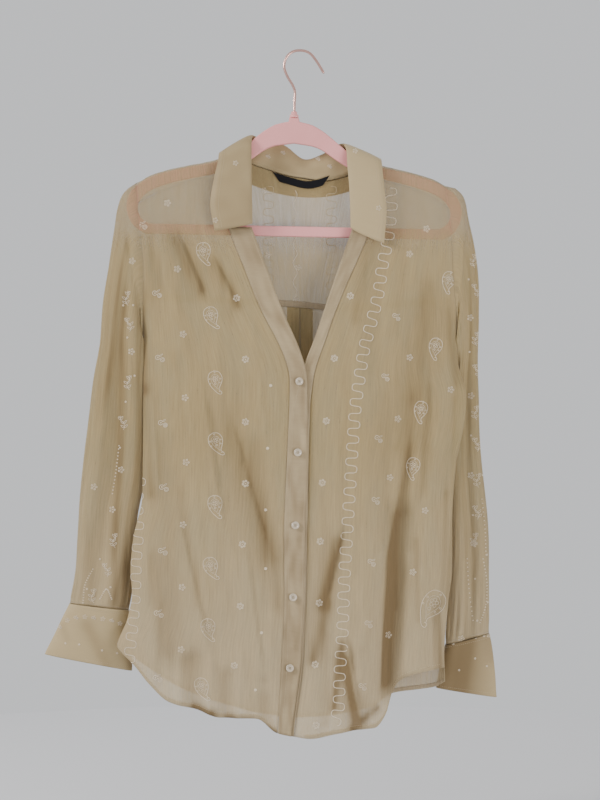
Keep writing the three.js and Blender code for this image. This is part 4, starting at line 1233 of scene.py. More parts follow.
def cuff(side):
    around, down = cuffPlan["around"], cuffPlan["down"]
    rings = [sleeveRing(station(cuffRows[side], i / down), around) for i in range(down + 1)]

    def crease(i, j):
        turn = math.tau * j / around
        return 0.8 * noise.noise(Vector((1.6 * math.cos(turn), 1.6 * math.sin(turn), i / 14 + 5)))

    # the cuff's painted shade lies along these lines
    valleys = [(*fromPhoto(px0, py0), *fromPhoto(px1, py1), width, depth)
               for px0, py0, px1, py1, width, depth in cuffShadeLines[side]]
    return clothMesh(side + "Cuff", rings, cuffPlan["thick"], smoothCloth, ring=True,
                     crease=crease,
                     gather=lambda i, j: foldRise(valleys, rings[i][j].x, rings[i][j].z))


clothNodes = {
    "rightFront": "right_front", "leftFront": "left_front", "rightBand": "right_band",
    "leftBand": "left_band", "backPanel": "back", "backYoke": "back_yoke",
    "blouseCollar": "collar", "neckLabel": "neck_label", "rightSleeve": "right_sleeve",
    "leftSleeve": "left_sleeve", "rightCuff": "right_cuff", "leftCuff": "left_cuff",
}
for side in ("right", "left"):
    frontPanel(side, chiffon)
    frontBand(side)
    sleeve(side)
    cuff(side)
backPanel()
backYoke()
blouseCollar()
neckLabel()
for name, cloth in sheets.items():
    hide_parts(clothNodes[name])
print("cloth laid out:", sum(len(c.data.polygons) for c in sheets.values()), "faces")


def keepAsMesh(source, name, material):
    # the evaluated object becomes a plain mesh, then its source goes
    ready = source.evaluated_get(bpy.context.evaluated_depsgraph_get())
    mesh = bpy.data.meshes.new_from_object(ready)
    mesh.transform(source.matrix_world)
    mesh.name = name
    bpy.data.objects.remove(source)
    if material:
        mesh.materials.clear()
        mesh.materials.append(material)
    for polygon in mesh.polygons:
        polygon.use_smooth = True
    made = addObject(name, mesh)
    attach(made, "root")
    return made


def hangerBody():
    shape = hangerShape
    outer = shape["boss"] + [(out, hangerTop(out)) for out in shape["topPlaces"]]
    ends = shape["top"][-1:] + shape["end"]
    endCount, holeCount = shape["endCount"], shape["holeCount"]
    outer += [tuple(station(ends, k / endCount)) for k in range(1, endCount + 1)]
    inner = [tuple(station(shape["hole"], k / holeCount)) for k in range(holeCount + 1)]
    data = bpy.data.curves.new("hangerOutline", "CURVE")
    data.dimensions = "2D"
    data.fill_mode = "BOTH"
    data.bevel_depth = shape["round"] * mm
    data.bevel_resolution = 4
    data.extrude = (shape["half"] - shape["round"]) * mm
    data.offset = -shape["round"] * mm
    for points in (outer, inner):
        loop = points + [(-x, z) for x, z in reversed(points) if x > 0.01]
        spline = data.splines.new("POLY")
        spline.points.add(len(loop) - 1)
        spline.use_cyclic_u = True
        for point, (x, z) in zip(spline.points, loop):
            point.co = ((x + shape["middleX"]) * mm, (z - x * shape["tilt"]) * mm, 0, 1)
    outline = addObject("hangerOutline", data)
    outline.rotation_euler = (math.radians(90), 0, 0)
    bpy.context.view_layer.update()
    made = keepAsMesh(outline, "hangerBody", pinkPlastic)
    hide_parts("hanger_body")


hookForm = {
    "wire": 1.7, "steps": 8, "around": 16,
    "path": [(-7.5, -83.6), (-7, -66), (-6.6, -50), (-9.6, -42), (-15.6, -32), (-20, -20),
             (-18.6, -10.4), (-13.6, -3), (-7, 0.8), (0, 1.7), (7.4, 0.6), (14, -3.2),
             (19.6, -10), (25.5, -19), (30.4, -27.6)],
    "collarX": -7.4, "collarAround": 28,
    "collar": [(-83.9, 5.2), (-83.2, 5.6), (-80.6, 5.6), (-79.6, 4.2), (-78.8, 3.9),
               (-76.4, 3.7), (-75.6, 1.9)],
}


def tubeFaces(rings, around, start=0):
    # faces between rings of points, closed at both ends
    faces = []
    for index in range(rings - 1):
        for k in range(around):
            a, b = start + index * around + k, start + index * around + (k + 1) % around
            faces.append((a, b, b + around, a + around))
    last = start + (rings - 1) * around
    faces.append(tuple(start + k for k in reversed(range(around))))
    faces.append(tuple(last + k for k in range(around)))
    return faces


def tubeMesh(name, centres, radii, around, material):
    points = []
    for index, centre in enumerate(centres):
        way = (centres[min(index + 1, len(centres) - 1)] - centres[max(index - 1, 0)]).normalized()
        side = Vector((0, 1, 0))
        out = way.cross(side).normalized()
        for k in range(around):
            turn = math.tau * k / around
            points.append((centre + (out * math.cos(turn) + side * math.sin(turn)) * radii[index])
                          * mm)
    mesh = bpy.data.meshes.new(name)
    mesh.from_pydata(points, [], tubeFaces(len(centres), around))
    mesh.materials.append(material)
    for polygon in mesh.polygons:
        polygon.use_smooth = len(polygon.vertices) == 4
    made = addObject(name, mesh)
    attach(made, "root")
    return made


def hangerHook():
    path = [Vector((x, 0, z)) for x, z in hookForm["path"]]
    count = (len(path) - 1) * hookForm["steps"]
    centres = [roundedCurve(path, k / count) for k in range(count + 1)]
    wire = hookForm["wire"]
    radii = [wire] * len(centres)
    radii[-1], radii[-2] = wire * 0.45, wire * 0.9
    made = tubeMesh("hangerHook", centres, radii, hookForm["around"], roseWire)
    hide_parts("hanger_hook")
    # the collar that the wire's shank is set in
    tubeMesh("hookCollar", [Vector((hookForm["collarX"], 0, z)) for z, out in hookForm["collar"]],
             [out for z, out in hookForm["collar"]], hookForm["collarAround"], pinkPlastic)


buttonForm = {
    "radius": 5.0, "thick": 2.2, "holeRadius": 0.62, "holeOut": 1.15, "around": 40,
    "holes": 4, "holeAround": 12, "seat": 1.4,
    "spots": [("button_1", -0.8, -419), ("button_2", -2.7, -508), ("button_3", -5.8, -599.4),
              ("button_4", -8.6, -689.6), ("button_5", -12.6, -778.5)],
}


def buttonBlank():
    # a turned disc with a sunk middle and four sewing holes, axis along Z
    r, rim, around = buttonForm["radius"], buttonForm["thick"] / 2, buttonForm["around"]
    profile = [(0.55, -rim), (0.8, -rim), (0.93, -rim * 0.75), (1.0, -rim * 0.2),
               (1.0, rim * 0.35), (0.96, rim * 0.8), (0.88, rim), (0.76, rim * 0.98),
               (0.66, rim * 0.8), (0.6, rim * 0.48), (0.52, rim * 0.4)]
    points = []
    for share, z in profile:
        for k in range(around):
            turn = math.tau * k / around
            points.append((r * share * math.cos(turn) * mm, r * share * math.sin(turn) * mm,
                           z * mm))
    mesh = bpy.data.meshes.new("buttonBlank")
    mesh.from_pydata(points, [], tubeFaces(len(profile), around))
    blank = addObject("buttonBlank", mesh)
    drill = bpy.data.meshes.new("drill")
    drillPoints, drillFaces = [], []
    holeAround, holeRadius = buttonForm["holeAround"], buttonForm["holeRadius"]
    for hole in range(buttonForm["holes"]):
        turn = math.tau * (hole + 0.5) / buttonForm["holes"]
        cx, cy = buttonForm["holeOut"] * math.cos(turn), buttonForm["holeOut"] * math.sin(turn)
        drillFaces += tubeFaces(2, holeAround, len(drillPoints))
        for z in (-3, 3):
            for k in range(holeAround):
                step = math.tau * k / holeAround
                drillPoints.append(((cx + holeRadius * math.cos(step)) * mm,
                                    (cy + holeRadius * math.sin(step)) * mm, z * mm))
    drill.from_pydata(drillPoints, [], drillFaces)
    drillObject = addObject("drill", drill)
    cut = blank.modifiers.new("sewingHoles", "BOOLEAN")
    cut.operation = "DIFFERENCE"
    cut.solver = "EXACT"
    cut.object = drillObject
    bpy.context.view_layer.update()
    mesh = bpy.data.meshes.new_from_object(
        blank.evaluated_get(bpy.context.evaluated_depsgraph_get()))
    bpy.data.objects.remove(blank)
    bpy.data.objects.remove(drillObject)
    return mesh


def seatButton(name, node, blank, point, facing):
    turned = facing.to_track_quat("Z", "Y").to_matrix().to_4x4()
    mesh = blank.copy()
    mesh.transform(turned)
    for vertex in mesh.vertices:
        vertex.co += point * mm
    mesh.materials.clear()
    mesh.materials.append(pearl)
    for polygon in mesh.polygons:
        polygon.use_smooth = len(polygon.vertices) == 4
    button = addObject(name, mesh)
    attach(button, "root")
    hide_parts(node)


threadSpots = []   # where each button is and which way it faces


def makeButtons():
    blank = buttonBlank()
    lift = buttonForm["seat"] + buttonForm["thick"] / 2
    for index, (node, x, z) in enumerate(buttonForm["spots"], 1):
        seam, edge = bandSeam["right"](z), bandEdge["right"](z)
        share = (x - seam) / (edge - seam)
        centre = bandPoint("right", z, share)
        across = bandPoint("right", z, share + 0.12) - bandPoint("right", z, share - 0.12)
        along = bandPoint("right", z + 4, share) - bandPoint("right", z - 4, share)
        facing = across.cross(along).normalized()
        if facing.y > 0:
            facing.negate()
        place = centre + facing * lift
        seatButton("frontButton" + str(index), node, blank, place, facing)
        threadSpots.append((place, facing))
    for side in ("right", "left"):
        ox, oz, ix, iz, middleY, _, backHalf, _ = station(cuffRows[side], 0.5)
        centre = Vector((mix(ox, ix, 0.5), middleY + backHalf, mix(oz, iz, 0.5)))
        facing = Vector((0, 1, 0))
        place = centre + facing * (lift + 0.2)
        seatButton(side + "CuffButton", side + "_cuff_button", blank, place, facing)
        threadSpots.append((place, facing))


hangerBody()
hangerHook()
makeButtons()
print("hanger, hook and buttons made")


# One tree lays stitches along paths drawn on the cloth.
def stitchTree():
    tree = bpy.data.node_groups.new("threadStitches", "GeometryNodeTree")
    sockets = {}
    tree.interface.new_socket("Paths", in_out="INPUT", socket_type="NodeSocketGeometry")
    for name in ("Spacing", "Along", "Thickness"):
        sockets[name] = tree.interface.new_socket(name, in_out="INPUT",
                                                  socket_type="NodeSocketFloat").identifier
    sockets["Thread"] = tree.interface.new_socket("Thread", in_out="INPUT",
                                                  socket_type="NodeSocketMaterial").identifier
    tree.interface.new_socket("Stitches", in_out="OUTPUT", socket_type="NodeSocketGeometry")

    def add(kind, **settings):
        made = tree.nodes.new(kind)
        for setting, value in settings.items():
            setattr(made, setting, value)
        return made

    def link(source, sourceSocket, target, targetSocket):
        tree.links.new(source.outputs[sourceSocket], target.inputs[targetSocket])

    start = add("NodeGroupInput")
    toCurve = add("GeometryNodeMeshToCurve")
    resample = add("GeometryNodeResampleCurve", mode="LENGTH")
    link(start, "Paths", toCurve, "Mesh")
    link(toCurve, "Curve", resample, "Curve")
    link(start, "Spacing", resample, "Length")
    lay = add("GeometryNodeInstanceOnPoints")
    link(resample, "Curve", lay, "Points")
    bead = add("GeometryNodeMeshIcoSphere")
    bead.inputs["Radius"].default_value = 0.5
    bead.inputs["Subdivisions"].default_value = 1
    link(bead, "Mesh", lay, "Instance")
    facing = add("GeometryNodeInputNamedAttribute", data_type="FLOAT_VECTOR")
    facing.inputs["Name"].default_value = "clothFacing"
    upright = add("FunctionNodeAlignRotationToVector", axis="Z")
    link(facing, "Attribute", upright, "Vector")
    tangent = add("GeometryNodeInputTangent")
    onward = add("FunctionNodeAlignRotationToVector", axis="X", pivot_axis="Z")
    link(upright, "Rotation", onward, "Rotation")
    link(tangent, "Tangent", onward, "Vector")
    link(onward, "Rotation", lay, "Rotation")
    width = add("GeometryNodeInputNamedAttribute", data_type="FLOAT")
    width.inputs["Name"].default_value = "threadWidth"
    size = add("ShaderNodeCombineXYZ")
    link(start, "Along", size, "X")
    link(width, "Attribute", size, "Y")
    link(start, "Thickness", size, "Z")
    link(size, "Vector", lay, "Scale")
    real = add("GeometryNodeRealizeInstances")
    link(lay, "Instances", real, "Geometry")
    finish = add("GeometryNodeSetMaterial")
    link(real, "Geometry", finish, "Geometry")
    link(start, "Thread", finish, "Material")
    end = add("NodeGroupOutput")
    link(finish, "Geometry", end, "Stitches")
    return tree, sockets


stitches, stitchSockets = stitchTree()
# Stitches: how far from one to the next, how long each is, and how thick.
stitchSizes = {
    "fronts": (0.95, 1.15, 0.75), "back": (1.05, 1.25, 0.75), "neck": (1.0, 1.15, 0.7),
    "small": (0.95, 1.1, 0.7), "seams": (2.6, 1.9, 0.34), "buttons": (0.45, 0.6, 0.4),
}
drawingPlan = {"step": 1.3, "lift": 0.15, "break": 6}


class Drawing:
    # paths drawn on one piece of cloth, seen from the front (-1) or the back (1)
    def __init__(self, names, face=-1):
        self.points, self.edges, self.facing, self.width = [], [], [], []
        self.face = face
        self.trees = []
        for name in names:
            data = sheets[name].data
            self.trees.append(BVHTree.FromPolygons([v.co for v in data.vertices],
                                                   [p.vertices for p in data.polygons]))

    def touch(self, x, z):
        best = None
        start = Vector((x * mm, self.face * 0.3, z * mm))
        for tree in self.trees:
            spot, normal, _, distance = tree.ray_cast(start, Vector((0, -self.face, 0)))
            if spot is not None and (best is None or distance < best[2]):
                if normal.y * self.face < 0:
                    normal = -normal
                best = (spot, normal, distance)
        return best

    def path(self, line, width, lift=drawingPlan["lift"], closed=False):
        # a line of (x, z) in millimetres, in short steps, broken where the cloth falls away
        if closed:
            line = line + [line[0]]
        previous = None
        for (x0, z0), (x1, z1) in zip(line, line[1:]):
            steps = max(1, int(math.hypot(x1 - x0, z1 - z0) / drawingPlan["step"]))
            for k in range(steps if (x1, z1) != line[-1] else steps + 1):
                share = k / steps
                hit = self.touch(mix(x0, x1, share), mix(z0, z1, share))
                if hit is None:
                    previous = None
                    continue
                spot = hit[0] + hit[1] * lift * mm
                if previous is not None:
                    if (self.points[previous] - spot).length > drawingPlan["break"] * mm:
                        previous = None
                self.points.append(spot)
                self.facing.append(hit[1])
                self.width.append(width * mm)
                index = len(self.points) - 1
                if previous is not None:
                    self.edges.append((previous, index))
                previous = index

    def lay(self, line, width):
        # a line of (point, facing) pairs, in millimetres
        start = len(self.points)
        for index, (point, facing) in enumerate(line):
            self.points.append(point * mm)
            self.facing.append(facing)
            self.width.append(width * mm)
            if index:
                self.edges.append((start + index - 1, start + index))

    def stitch(self, name, material, kind):
        spacing, along, thickness = stitchSizes[kind]
        mesh = bpy.data.meshes.new(name + "Paths")
        mesh.from_pydata(self.points, self.edges, [])
        facing = mesh.attributes.new("clothFacing", "FLOAT_VECTOR", "POINT")
        facing.data.foreach_set("vector", [part for way in self.facing for part in way])
        width = mesh.attributes.new("threadWidth", "FLOAT", "POINT")
        width.data.foreach_set("value", self.width)
        drawn = addObject(name + "Paths", mesh)
        sewing = drawn.modifiers.new("sewing", "NODES")
        sewing.node_group = stitches
        sewing[stitchSockets["Spacing"]] = spacing * mm
        sewing[stitchSockets["Along"]] = along * mm
        sewing[stitchSockets["Thickness"]] = thickness * mm
        sewing[stitchSockets["Thread"]] = material
        made = keepAsMesh(drawn, name, None)
        print("  " + name + ":", len(made.data.polygons), "faces")


# Motifs are drawn round their own middle in millimetres, x across and z up.
def circle(cx, cz, r, count):
    turns = [math.tau * k / count for k in range(count)]
    return [(cx + r * math.cos(turn), cz + r * math.sin(turn)) for turn in turns]


def arc(cx, cz, r, start, stop, count):
    turns = [math.radians(mix(start, stop, k / (count - 1))) for k in range(count)]
    return [(cx + r * math.cos(turn), cz + r * math.sin(turn)) for turn in turns]


def roundFlower(size, petals, turned):
    # a ring of satin petals round a knot
    strokes = [(circle(0, 0, size * 0.1, 5), size * 0.2, True)]
    for petal in range(petals):
        turn = math.tau * petal / petals + turned
        middle = (size * 0.58 * math.cos(turn), size * 0.58 * math.sin(turn))
        strokes.append((circle(*middle, size * 0.2, 6), size * 0.2, True))
    return strokes


def starFlower(size):
    return roundFlower(size, 6, 0.3)


def smallFlower(size):
    return roundFlower(size, 5, 1.2)


def paisley(size):
    # a leaning drop with a curled tip, an inner line, a small flower and dots
    outerRight = [(0.05, -0.95), (0.42, -0.78), (0.56, -0.4), (0.5, 0.02), (0.26, 0.42),
                  (-0.02, 0.72), (-0.3, 0.95), (-0.5, 0.92), (-0.44, 0.72), (-0.3, 0.74)]
    outerLeft = [(0.05, -0.95), (-0.34, -0.84), (-0.56, -0.5), (-0.56, -0.1), (-0.42, 0.24),
                 (-0.3, 0.5), (-0.36, 0.68)]
    innerRight = [(0.02, -0.68), (0.28, -0.52), (0.32, -0.2), (0.18, 0.12), (-0.08, 0.38),
                  (-0.22, 0.56)]
    innerLeft = [(0.02, -0.68), (-0.28, -0.52), (-0.34, -0.2), (-0.24, 0.12), (-0.16, 0.36)]
    strokes = []
    for line, width in ((outerRight, 0.95), (outerLeft, 0.95), (innerRight, 0.55),
                        (innerLeft, 0.55)):
        points = [(x * size, z * size) for x, z in line]
        strokes.append((smoothLine(points, 3), width, False))
    for petal in range(5):
        turn = math.tau * petal / 5
        strokes.append((circle(0.16 * size * math.cos(turn), size * (0.16 * math.sin(turn) - 0.3),
                               0.09 * size, 6), 0.7, True))
    strokes.append((circle(-0.02 * size, 0.08 * size, 0.08 * size, 6), 0.8, True))
    for x, z in ((0.44, -0.3), (0.4, 0.08), (-0.45, -0.3), (-0.38, 0.02), (0, -0.82)):
        strokes.append((circle(x * size, z * size, 0.05 * size, 5), 0.7, True))
    return strokes


def curlFlower(size):
    # a curled tendril beside a small round bloom, with a leaf above
    strokes = [(arc(-size * 0.32, size * 0.2, size * 0.3, 20, 330, 12), 0.95, False)]
    strokes.append((circle(-size * 0.3, size * 0.2, size * 0.07, 5), 0.9, True))
    strokes.append((circle(size * 0.26, -size * 0.2, size * 0.29, 10), 0.9, True))
    for petal in range(5):
        turn = math.tau * petal / 5 + 0.4
        strokes.append((circle(size * (0.26 + 0.14 * math.cos(turn)),
                               size * (0.14 * math.sin(turn) - 0.2), size * 0.05, 5), 0.7, True))
    strokes.append((leafLine(-size * 0.02, size * 0.3, 0.5, size * 0.5, size * 0.2), 0.7, False))
    return strokes


def dot(size):
    return [(circle(0, 0, size * 0.5, 5), size * 0.8, True)]


def leafLine(x, z, turn, length, width):
    # an almond outline from its foot at (x, z)
    c, s = math.cos(turn), math.sin(turn)
    outline = [(0, 0), (0.3, 0.42), (0.65, 0.4), (1, 0), (0.65, -0.4), (0.3, -0.42), (0, 0)]
    return smoothLine([(x + a * length * c - b * width * s, z + a * length * s + b * width * c)
                       for a, b in outline], 3)


def sprig(size, lean):
    # a bent stem with leaves by pairs and a bud at its top
    stem = [(lean * size * 0.16 * math.sin(k * 0.8), size * (k / 6 - 0.5)) for k in range(7)]
    strokes = [(smoothLine(stem, 3), 0.7, False)]
    for k, spread in ((1, 0.95), (3, 0.8), (5, 0.6)):
        x, z = stem[k]
        for way in (-1, 1):
            turn = math.pi / 2 - way * spread
            strokes.append((leafLine(x, z, turn, size * 0.36, size * 0.16), 0.75, False))
    strokes.append((circle(stem[6][0], stem[6][1] + size * 0.1, size * 0.07, 6), 0.8, True))
    return strokes


def smoothLine(points, parts):
    knots = [Vector((x, 0, z)) for x, z in points]
    count = (len(points) - 1) * parts
    made = [roundedCurve(knots, k / count) for k in range(count + 1)]
    return [(p.x, p.z) for p in made]


def drawMotif(drawing, strokes, px, py, turn=0.0):
    cx, cz = fromPhoto(px, py)
    c, s = math.cos(turn), math.sin(turn)
    for line, width, closed in strokes:
        drawing.path([(cx + x * c - z * s, cz + x * s + z * c) for x, z in line], width,
                     closed=closed)


def serpentine(drawing, middle, period, reach, width):
    # a meander of rounded loops that swings to both sides of its middle line
    knots = [Vector((x, 0, z)) for x, z in (fromPhoto(px, py) for px, py in middle)]
    fine = [roundedCurve(knots, k / 600) for k in range(601)]
    line, gone, last = [], 0.0, fine[0]
    for point, after in zip(fine, fine[1:]):
        way = (after - point).normalized()
        gone += (point - last).length
        last = point
        phase = math.tau * gone / period
        side = Vector((-way.z, 0, way.x))
        swing = math.tanh(1.2 * math.sin(phase)) / math.tanh(1.2)
        spot = point + side * reach * swing - way * period * 0.068 * math.sin(2 * phase)
        line.append((spot.x, spot.z))
    drawing.path(line, width)


def setMotifs(drawing, spots, motifs, turns=(0.0,)):
    # motifs and turns are taken in rotation along the spots
    for index, (px, py) in enumerate(spots):
        drawMotif(drawing, motifs[index % len(motifs)], px, py, turns[index % len(turns)])


# Places are in pixels of the photograph, and a meander's sizes are its period, reach and width.
embroidery = {
    "rightLoops": (18.7, 7.0, 1.1), "leftLoops": (18.7, 7.4, 1.3),
    "rightCurls": [(143.5, 227), (158, 295), (161, 359), (164, 424), (165, 488), (164, 551),
                   (160, 613), (159, 677)],
    "rightSmall": [(168, 204), (178, 270), (184, 335), (186, 398), (187, 462), (184, 524),
                   (183, 586), (182, 648)],
    "rightPaisleys": [(204, 255), (212, 319), (216, 383), (217, 444), (216, 506), (212, 567),
                      (209, 628), (203, 687)],
    "rightStars": [(237, 299), (246, 360), (246, 422), (246, 483), (243, 543), (241, 604),
                   (235, 663)],
    "rightDots": [(271, 386), (268, 448), (266, 509), (266, 567), (262, 630), (256, 687)],
    "rightMeander": [(141, 478), (138, 500), (139, 530), (137, 560), (136, 590), (134, 620),
                     (131, 650), (130, 668)],
    "leftMeander": [(390, 189), (391, 204), (388, 236), (382, 267), (378, 294), (370, 326),
                    (364, 348), (359, 378), (355, 406), (352, 446), (349, 493), (346, 540),
                    (344, 574), (342, 629), (339, 677), (338, 706), (334, 721)],
    "leftStars": [(350, 297), (334, 359), (326, 421), (322, 482), (320, 540), (319, 601),
                  (315, 662), (316, 722)],
    "leftCurls": [(396, 318), (385, 378), (378, 439), (375, 500), (371, 561), (368, 622),
                  (362, 684)],
    "leftSmall": [(409, 255), (409, 358), (397, 419), (389, 477), (450, 390), (424, 510),
                  (412, 571), (388, 634), (426, 230)],
    "leftPaisleys": [(447, 283), (434, 349), (411, 468), (419, 412)],
    "leftBigPaisley": (429, 606),
    "backFlowers": [(264, 190), (268, 254), (298, 267), (297, 300)],
}


def embroiderFronts():
    work = embroidery
    right = Drawing(["rightFront"])
    setMotifs(right, work["rightCurls"], [curlFlower(9.5)], [0.15])
    setMotifs(right, work["rightSmall"], [smallFlower(5.4)])
    setMotifs(right, work["rightPaisleys"], [paisley(15.5)], [math.pi + 0.05, math.pi + 0.2])
    setMotifs(right, work["rightStars"], [starFlower(5.6)])
    setMotifs(right, work["rightDots"], [dot(2.6)])
    serpentine(right, work["rightMeander"], *work["rightLoops"])
    right.stitch("rightFrontEmbroidery", paleThread, "fronts")
    left = Drawing(["leftFront"])
    serpentine(left, work["leftMeander"], *work["leftLoops"])
    setMotifs(left, work["leftStars"], [starFlower(5.6)])
    setMotifs(left, work["leftCurls"], [curlFlower(8.5)], [-0.15])
    setMotifs(left, work["leftSmall"], [smallFlower(5.2)])
    setMotifs(left, work["leftPaisleys"], [paisley(14.5)], [math.pi - 0.35])
    setMotifs(left, [work["leftBigPaisley"]], [paisley(25)], [math.pi - 0.75])
    left.stitch("leftFrontEmbroidery", paleThread, "fronts")


backWork = {
    "columns": (-168, -122, -76, 76, 122, 168), "rows": 8, "top": -235, "down": 80, "shift": 26,
    "lowest": -770, "lines": (-40, 40), "lineHeights": (-170, -250, -330),
    "loops": (18.7, 6.4, 1.1),
}


def embroiderBack():
    # the same motifs, evenly set across the back and yoke, with a meander beside the pleat
    work = backWork
    back = Drawing(["backPanel", "backYoke"], 1)
    shapes = (paisley(14.5), starFlower(5.6), smallFlower(5.2))
    for column, x in enumerate(work["columns"]):
        for row in range(work["rows"]):
            z = work["top"] - row * work["down"] - (column % 3) * work["shift"]
            if z < work["lowest"]:
                continue
            for line, width, closed in shapes[column % 3]:
                back.path([(x + a, z + b) for a, b in line], width, closed=closed)
    for x in work["lines"]:
        serpentine(back, [toPhoto(x, z) for z in work["lineHeights"]], *work["loops"])
    back.stitch("backEmbroidery", paleThread, "back")
    inside = Drawing(["backYoke", "backPanel"], -1)
    setMotifs(inside, embroidery["backFlowers"], [smallFlower(4.6)])
    line = [fromPhoto(295 + 2.2 * math.sin(k * 1.3), 190 + k * 4) for k in range(30)]
    inside.path(smoothLine(line, 2), 0.9)
    inside.stitch("backNeckEmbroidery", paleThread, "neck")


sleeveWork = {
    "right": {
        "sprigs": [(128, 300), (130, 326), (129, 384), (123, 424), (114, 542), (106, 572),
                   (92, 598)],
        "beads": [[(119, 446), (116, 470), (112, 494)], [(99, 600), (106, 590), (111, 600)],
                  [(82, 604), (84, 586), (92, 570)]],
        "flowers": [(133, 262), (94, 487), (121, 470), (112, 510), (132, 352)],
        "dots": [(124, 306), (134, 306), (126, 402), (135, 376), (99, 560), (110, 588),
                 (86, 590), (97, 612), (120, 448), (128, 338)],
    },
    "left": {
        "sprigs": [(474, 262), (476, 292), (477, 340), (478, 372), (477, 414), (478, 446),
                   (479, 482), (478, 514), (476, 542)],
        "beads": [[(483, 500), (486, 530), (487, 556)], [(484, 560), (488, 584), (487, 606),
                                                       (481, 624)],
                  [(468, 560), (470, 590), (474, 622)]],
        "flowers": [(470, 318), (472, 396), (472, 476), (475, 545), (462, 640)],
        "dots": [(468, 280), (480, 318), (470, 352), (482, 396), (472, 436), (484, 476),
                 (474, 516), (488, 556), (476, 580), (489, 604), (478, 622)],
    },
}


def embroiderSleeves():
    for side, work in sleeveWork.items():
        for face in (-1, 1):
            arm = Drawing([side + "Sleeve"], face)
            setMotifs(arm, work["sprigs"], [sprig(15, -1), sprig(15, 1)], [0.12])
            setMotifs(arm, work["flowers"], [smallFlower(5.2)])
            setMotifs(arm, work["dots"], [dot(1.7)])
            for chain in work["beads"]:
                setMotifs(arm, smoothLine(chain, 7), [dot(1.2)])
            name = side + ("Sleeve" if face < 0 else "SleeveBack") + "Embroidery"
            arm.stitch(name, paleThread, "small")


cuffWork = {
    "right": [(58, 629), (66, 622), (75, 619), (84, 618), (93, 619), (102, 620), (111, 622),
              (119, 625)],
    "left": [(453, 645), (460, 641), (468, 639), (476, 638), (484, 637), (490, 637)],
    "rightDots": [(101, 652), (78, 646), (116, 655), (64, 645)],
    "leftDots": [(460, 672), (476, 660), (488, 668)],
    "collarFlowers": [(216, 222), (236, 165), (378, 210), (355, 152)],
    "collarCurls": [(268, 156), (283, 152), (318, 158), (330, 166)],
}


def embroiderSmoothPieces():
    work = Drawing(["rightCuff", "leftCuff", "blouseCollar"])
    for side in ("right", "left"):
        setMotifs(work, cuffWork[side], [curlFlower(4.4), smallFlower(3.8)], [0.2])
        setMotifs(work, cuffWork[side + "Dots"], [dot(1.8)])
    setMotifs(work, cuffWork["collarFlowers"], [smallFlower(4.2)])
    setMotifs(work, cuffWork["collarCurls"], [curlFlower(4.6)])
    work.stitch("cuffAndCollarEmbroidery", paleThread, "small")


seamWork = {"width": 0.42, "lift": 0.08, "bandShares": (0.08, 0.9), "bandRows": 90,
            "hemUp": 5.5, "yokeUp": 3, "collarControl": 5.55, "cuffShares": (0.06, 0.94),
            "cuffLift": 0.95, "buttonThread": 0.4}


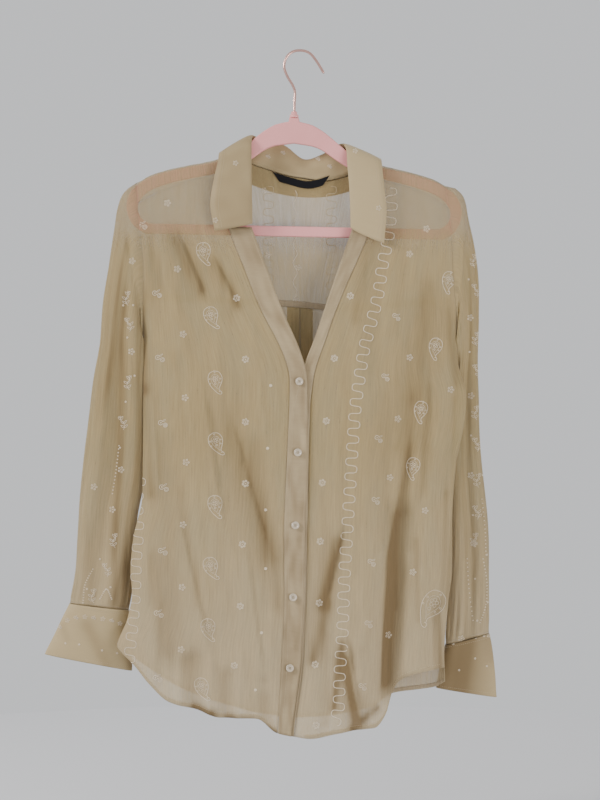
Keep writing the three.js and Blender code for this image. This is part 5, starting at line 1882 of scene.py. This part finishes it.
def sewSeams():
    # topstitching on the bands, collar, cuffs, yoke and hems
    width, lift, hemUp = seamWork["width"], seamWork["lift"], seamWork["hemUp"]
    front = Drawing(["rightBand", "leftBand", "rightFront", "leftFront"])
    count = seamWork["bandRows"]
    for side in ("right", "left"):
        for share in seamWork["bandShares"]:
            heights = [mix(bands[side]["top"] - 2, -852, k / (count - 1)) for k in range(count)]
            line = [bandPoint(side, z, share) for z in heights]
            front.path([(point.x, point.z) for point in line], width, lift)
    for places in (range(-228, -32, 6), range(16, 181, 5)):
        front.path([(x, frontHem(x) + hemUp) for x in places], width, lift)
    front.stitch("frontTopstitching", seamThread, "seams")
    back = Drawing(["backPanel", "backYoke"], 1)
    back.path([(x, yokeSeam(x) + seamWork["yokeUp"]) for x in range(-195, 192, 6)], width, lift)
    back.path([(x, backHem(x) + hemUp) for x in range(-226, 180, 6)], width, lift)
    back.stitch("backTopstitching", seamThread, "seams")
    collar = Drawing([])
    line = []
    columns, control = collarForm["columns"], seamWork["collarControl"]
    for k in range(1, columns):
        section = collarSection(k / columns)
        point = roundedCurve(section, control / 6)
        after = roundedCurve(section, (control + 0.1) / 6)
        nextPoint = roundedCurve(collarSection((k + 0.5) / columns), control / 6)
        facing = (after - point).cross(nextPoint - point).normalized()
        if facing.dot(Vector((point.x * 0.2, point.y - 2, 0.2))) < 0:
            facing = -facing
        line.append((point + facing * (collarForm["wall"] / 2 + 0.1), facing))
    collar.lay(line, width)
    collar.stitch("collarTopstitching", seamThread, "seams")
    arms = Drawing([])
    for side in ("right", "left"):
        for share in seamWork["cuffShares"]:
            ring = sleeveRing(station(cuffRows[side], share), cuffPlan["around"])
            middle = sum(ring, Vector()) / len(ring)
            line = []
            for point in ring + [ring[0]]:
                away = point - middle
                facing = Vector((away.x * 0.12, away.y, 0)).normalized()
                line.append((point + facing * seamWork["cuffLift"], facing))
            arms.lay(line, width)
    arms.stitch("cuffTopstitching", seamThread, "seams")
    held = Drawing([])
    reach = buttonForm["holeOut"] * 0.75
    for place, facing in threadSpots:
        across = facing.cross(Vector((0, 0, 1))).normalized()
        up = across.cross(facing).normalized()
        top = place + facing * (buttonForm["thick"] / 2 * 0.4 + 0.25)
        for way in (-1, 1):
            line = [top + across * reach * way * s + up * reach * s for s in (-1, -0.5, 0, 0.5, 1)]
            held.lay([(point, facing) for point in line], seamWork["buttonThread"])
    held.stitch("buttonThread", seamThread, "buttons")


embroiderFronts()
embroiderBack()
embroiderSleeves()
embroiderSmoothPieces()
sewSeams()
print("embroidery and seams sewn")


# Seam allowances and hem turnings are narrow second layers that show through the thin cloth:
# the ends, the number of parts, and the two edges above the hem or seam.
allowance = {
    "thick": 0.35, "inside": 0.75, "parts": 4,
    "rightHem": (-232, -29.5, 90, 0.6, 5.5), "leftHem": (6, 182, 90, 0.6, 5.5),
    "backHem": (-230, 182, 150, 0.6, 5.5), "yokeAllowance": (-196, 192, 120, 0.4, 8.0),
}


def makeAllowances():
    inside, parts = allowance["inside"], allowance["parts"]

    def onFront(lap):
        def point(x, z):
            made = frontPoint(x, z, lap)
            made.y += inside
            return made
        return point

    def onBack(x, z):
        made = backPoint(x, z)
        made.y -= inside
        return made

    for name, edge, onCloth in (("rightHem", frontHem, onFront(True)),
                                ("leftHem", frontHem, onFront(False)),
                                ("backHem", backHem, onBack), ("yokeAllowance", yokeSeam, onBack)):
        low, high, count, near, far = allowance[name]
        xs = [low + (high - low) * k / count for k in range(count + 1)]
        outer = [onCloth(x, edge(x) + near) for x in xs]
        inner = [onCloth(x, edge(x) + far) for x in xs]
        rows = [[a.lerp(b, k / parts) for a, b in zip(outer, inner)] for k in range(parts + 1)]
        clothMesh(name, rows, allowance["thick"], allowanceCloth)


makeAllowances()
print("seam allowances laid")
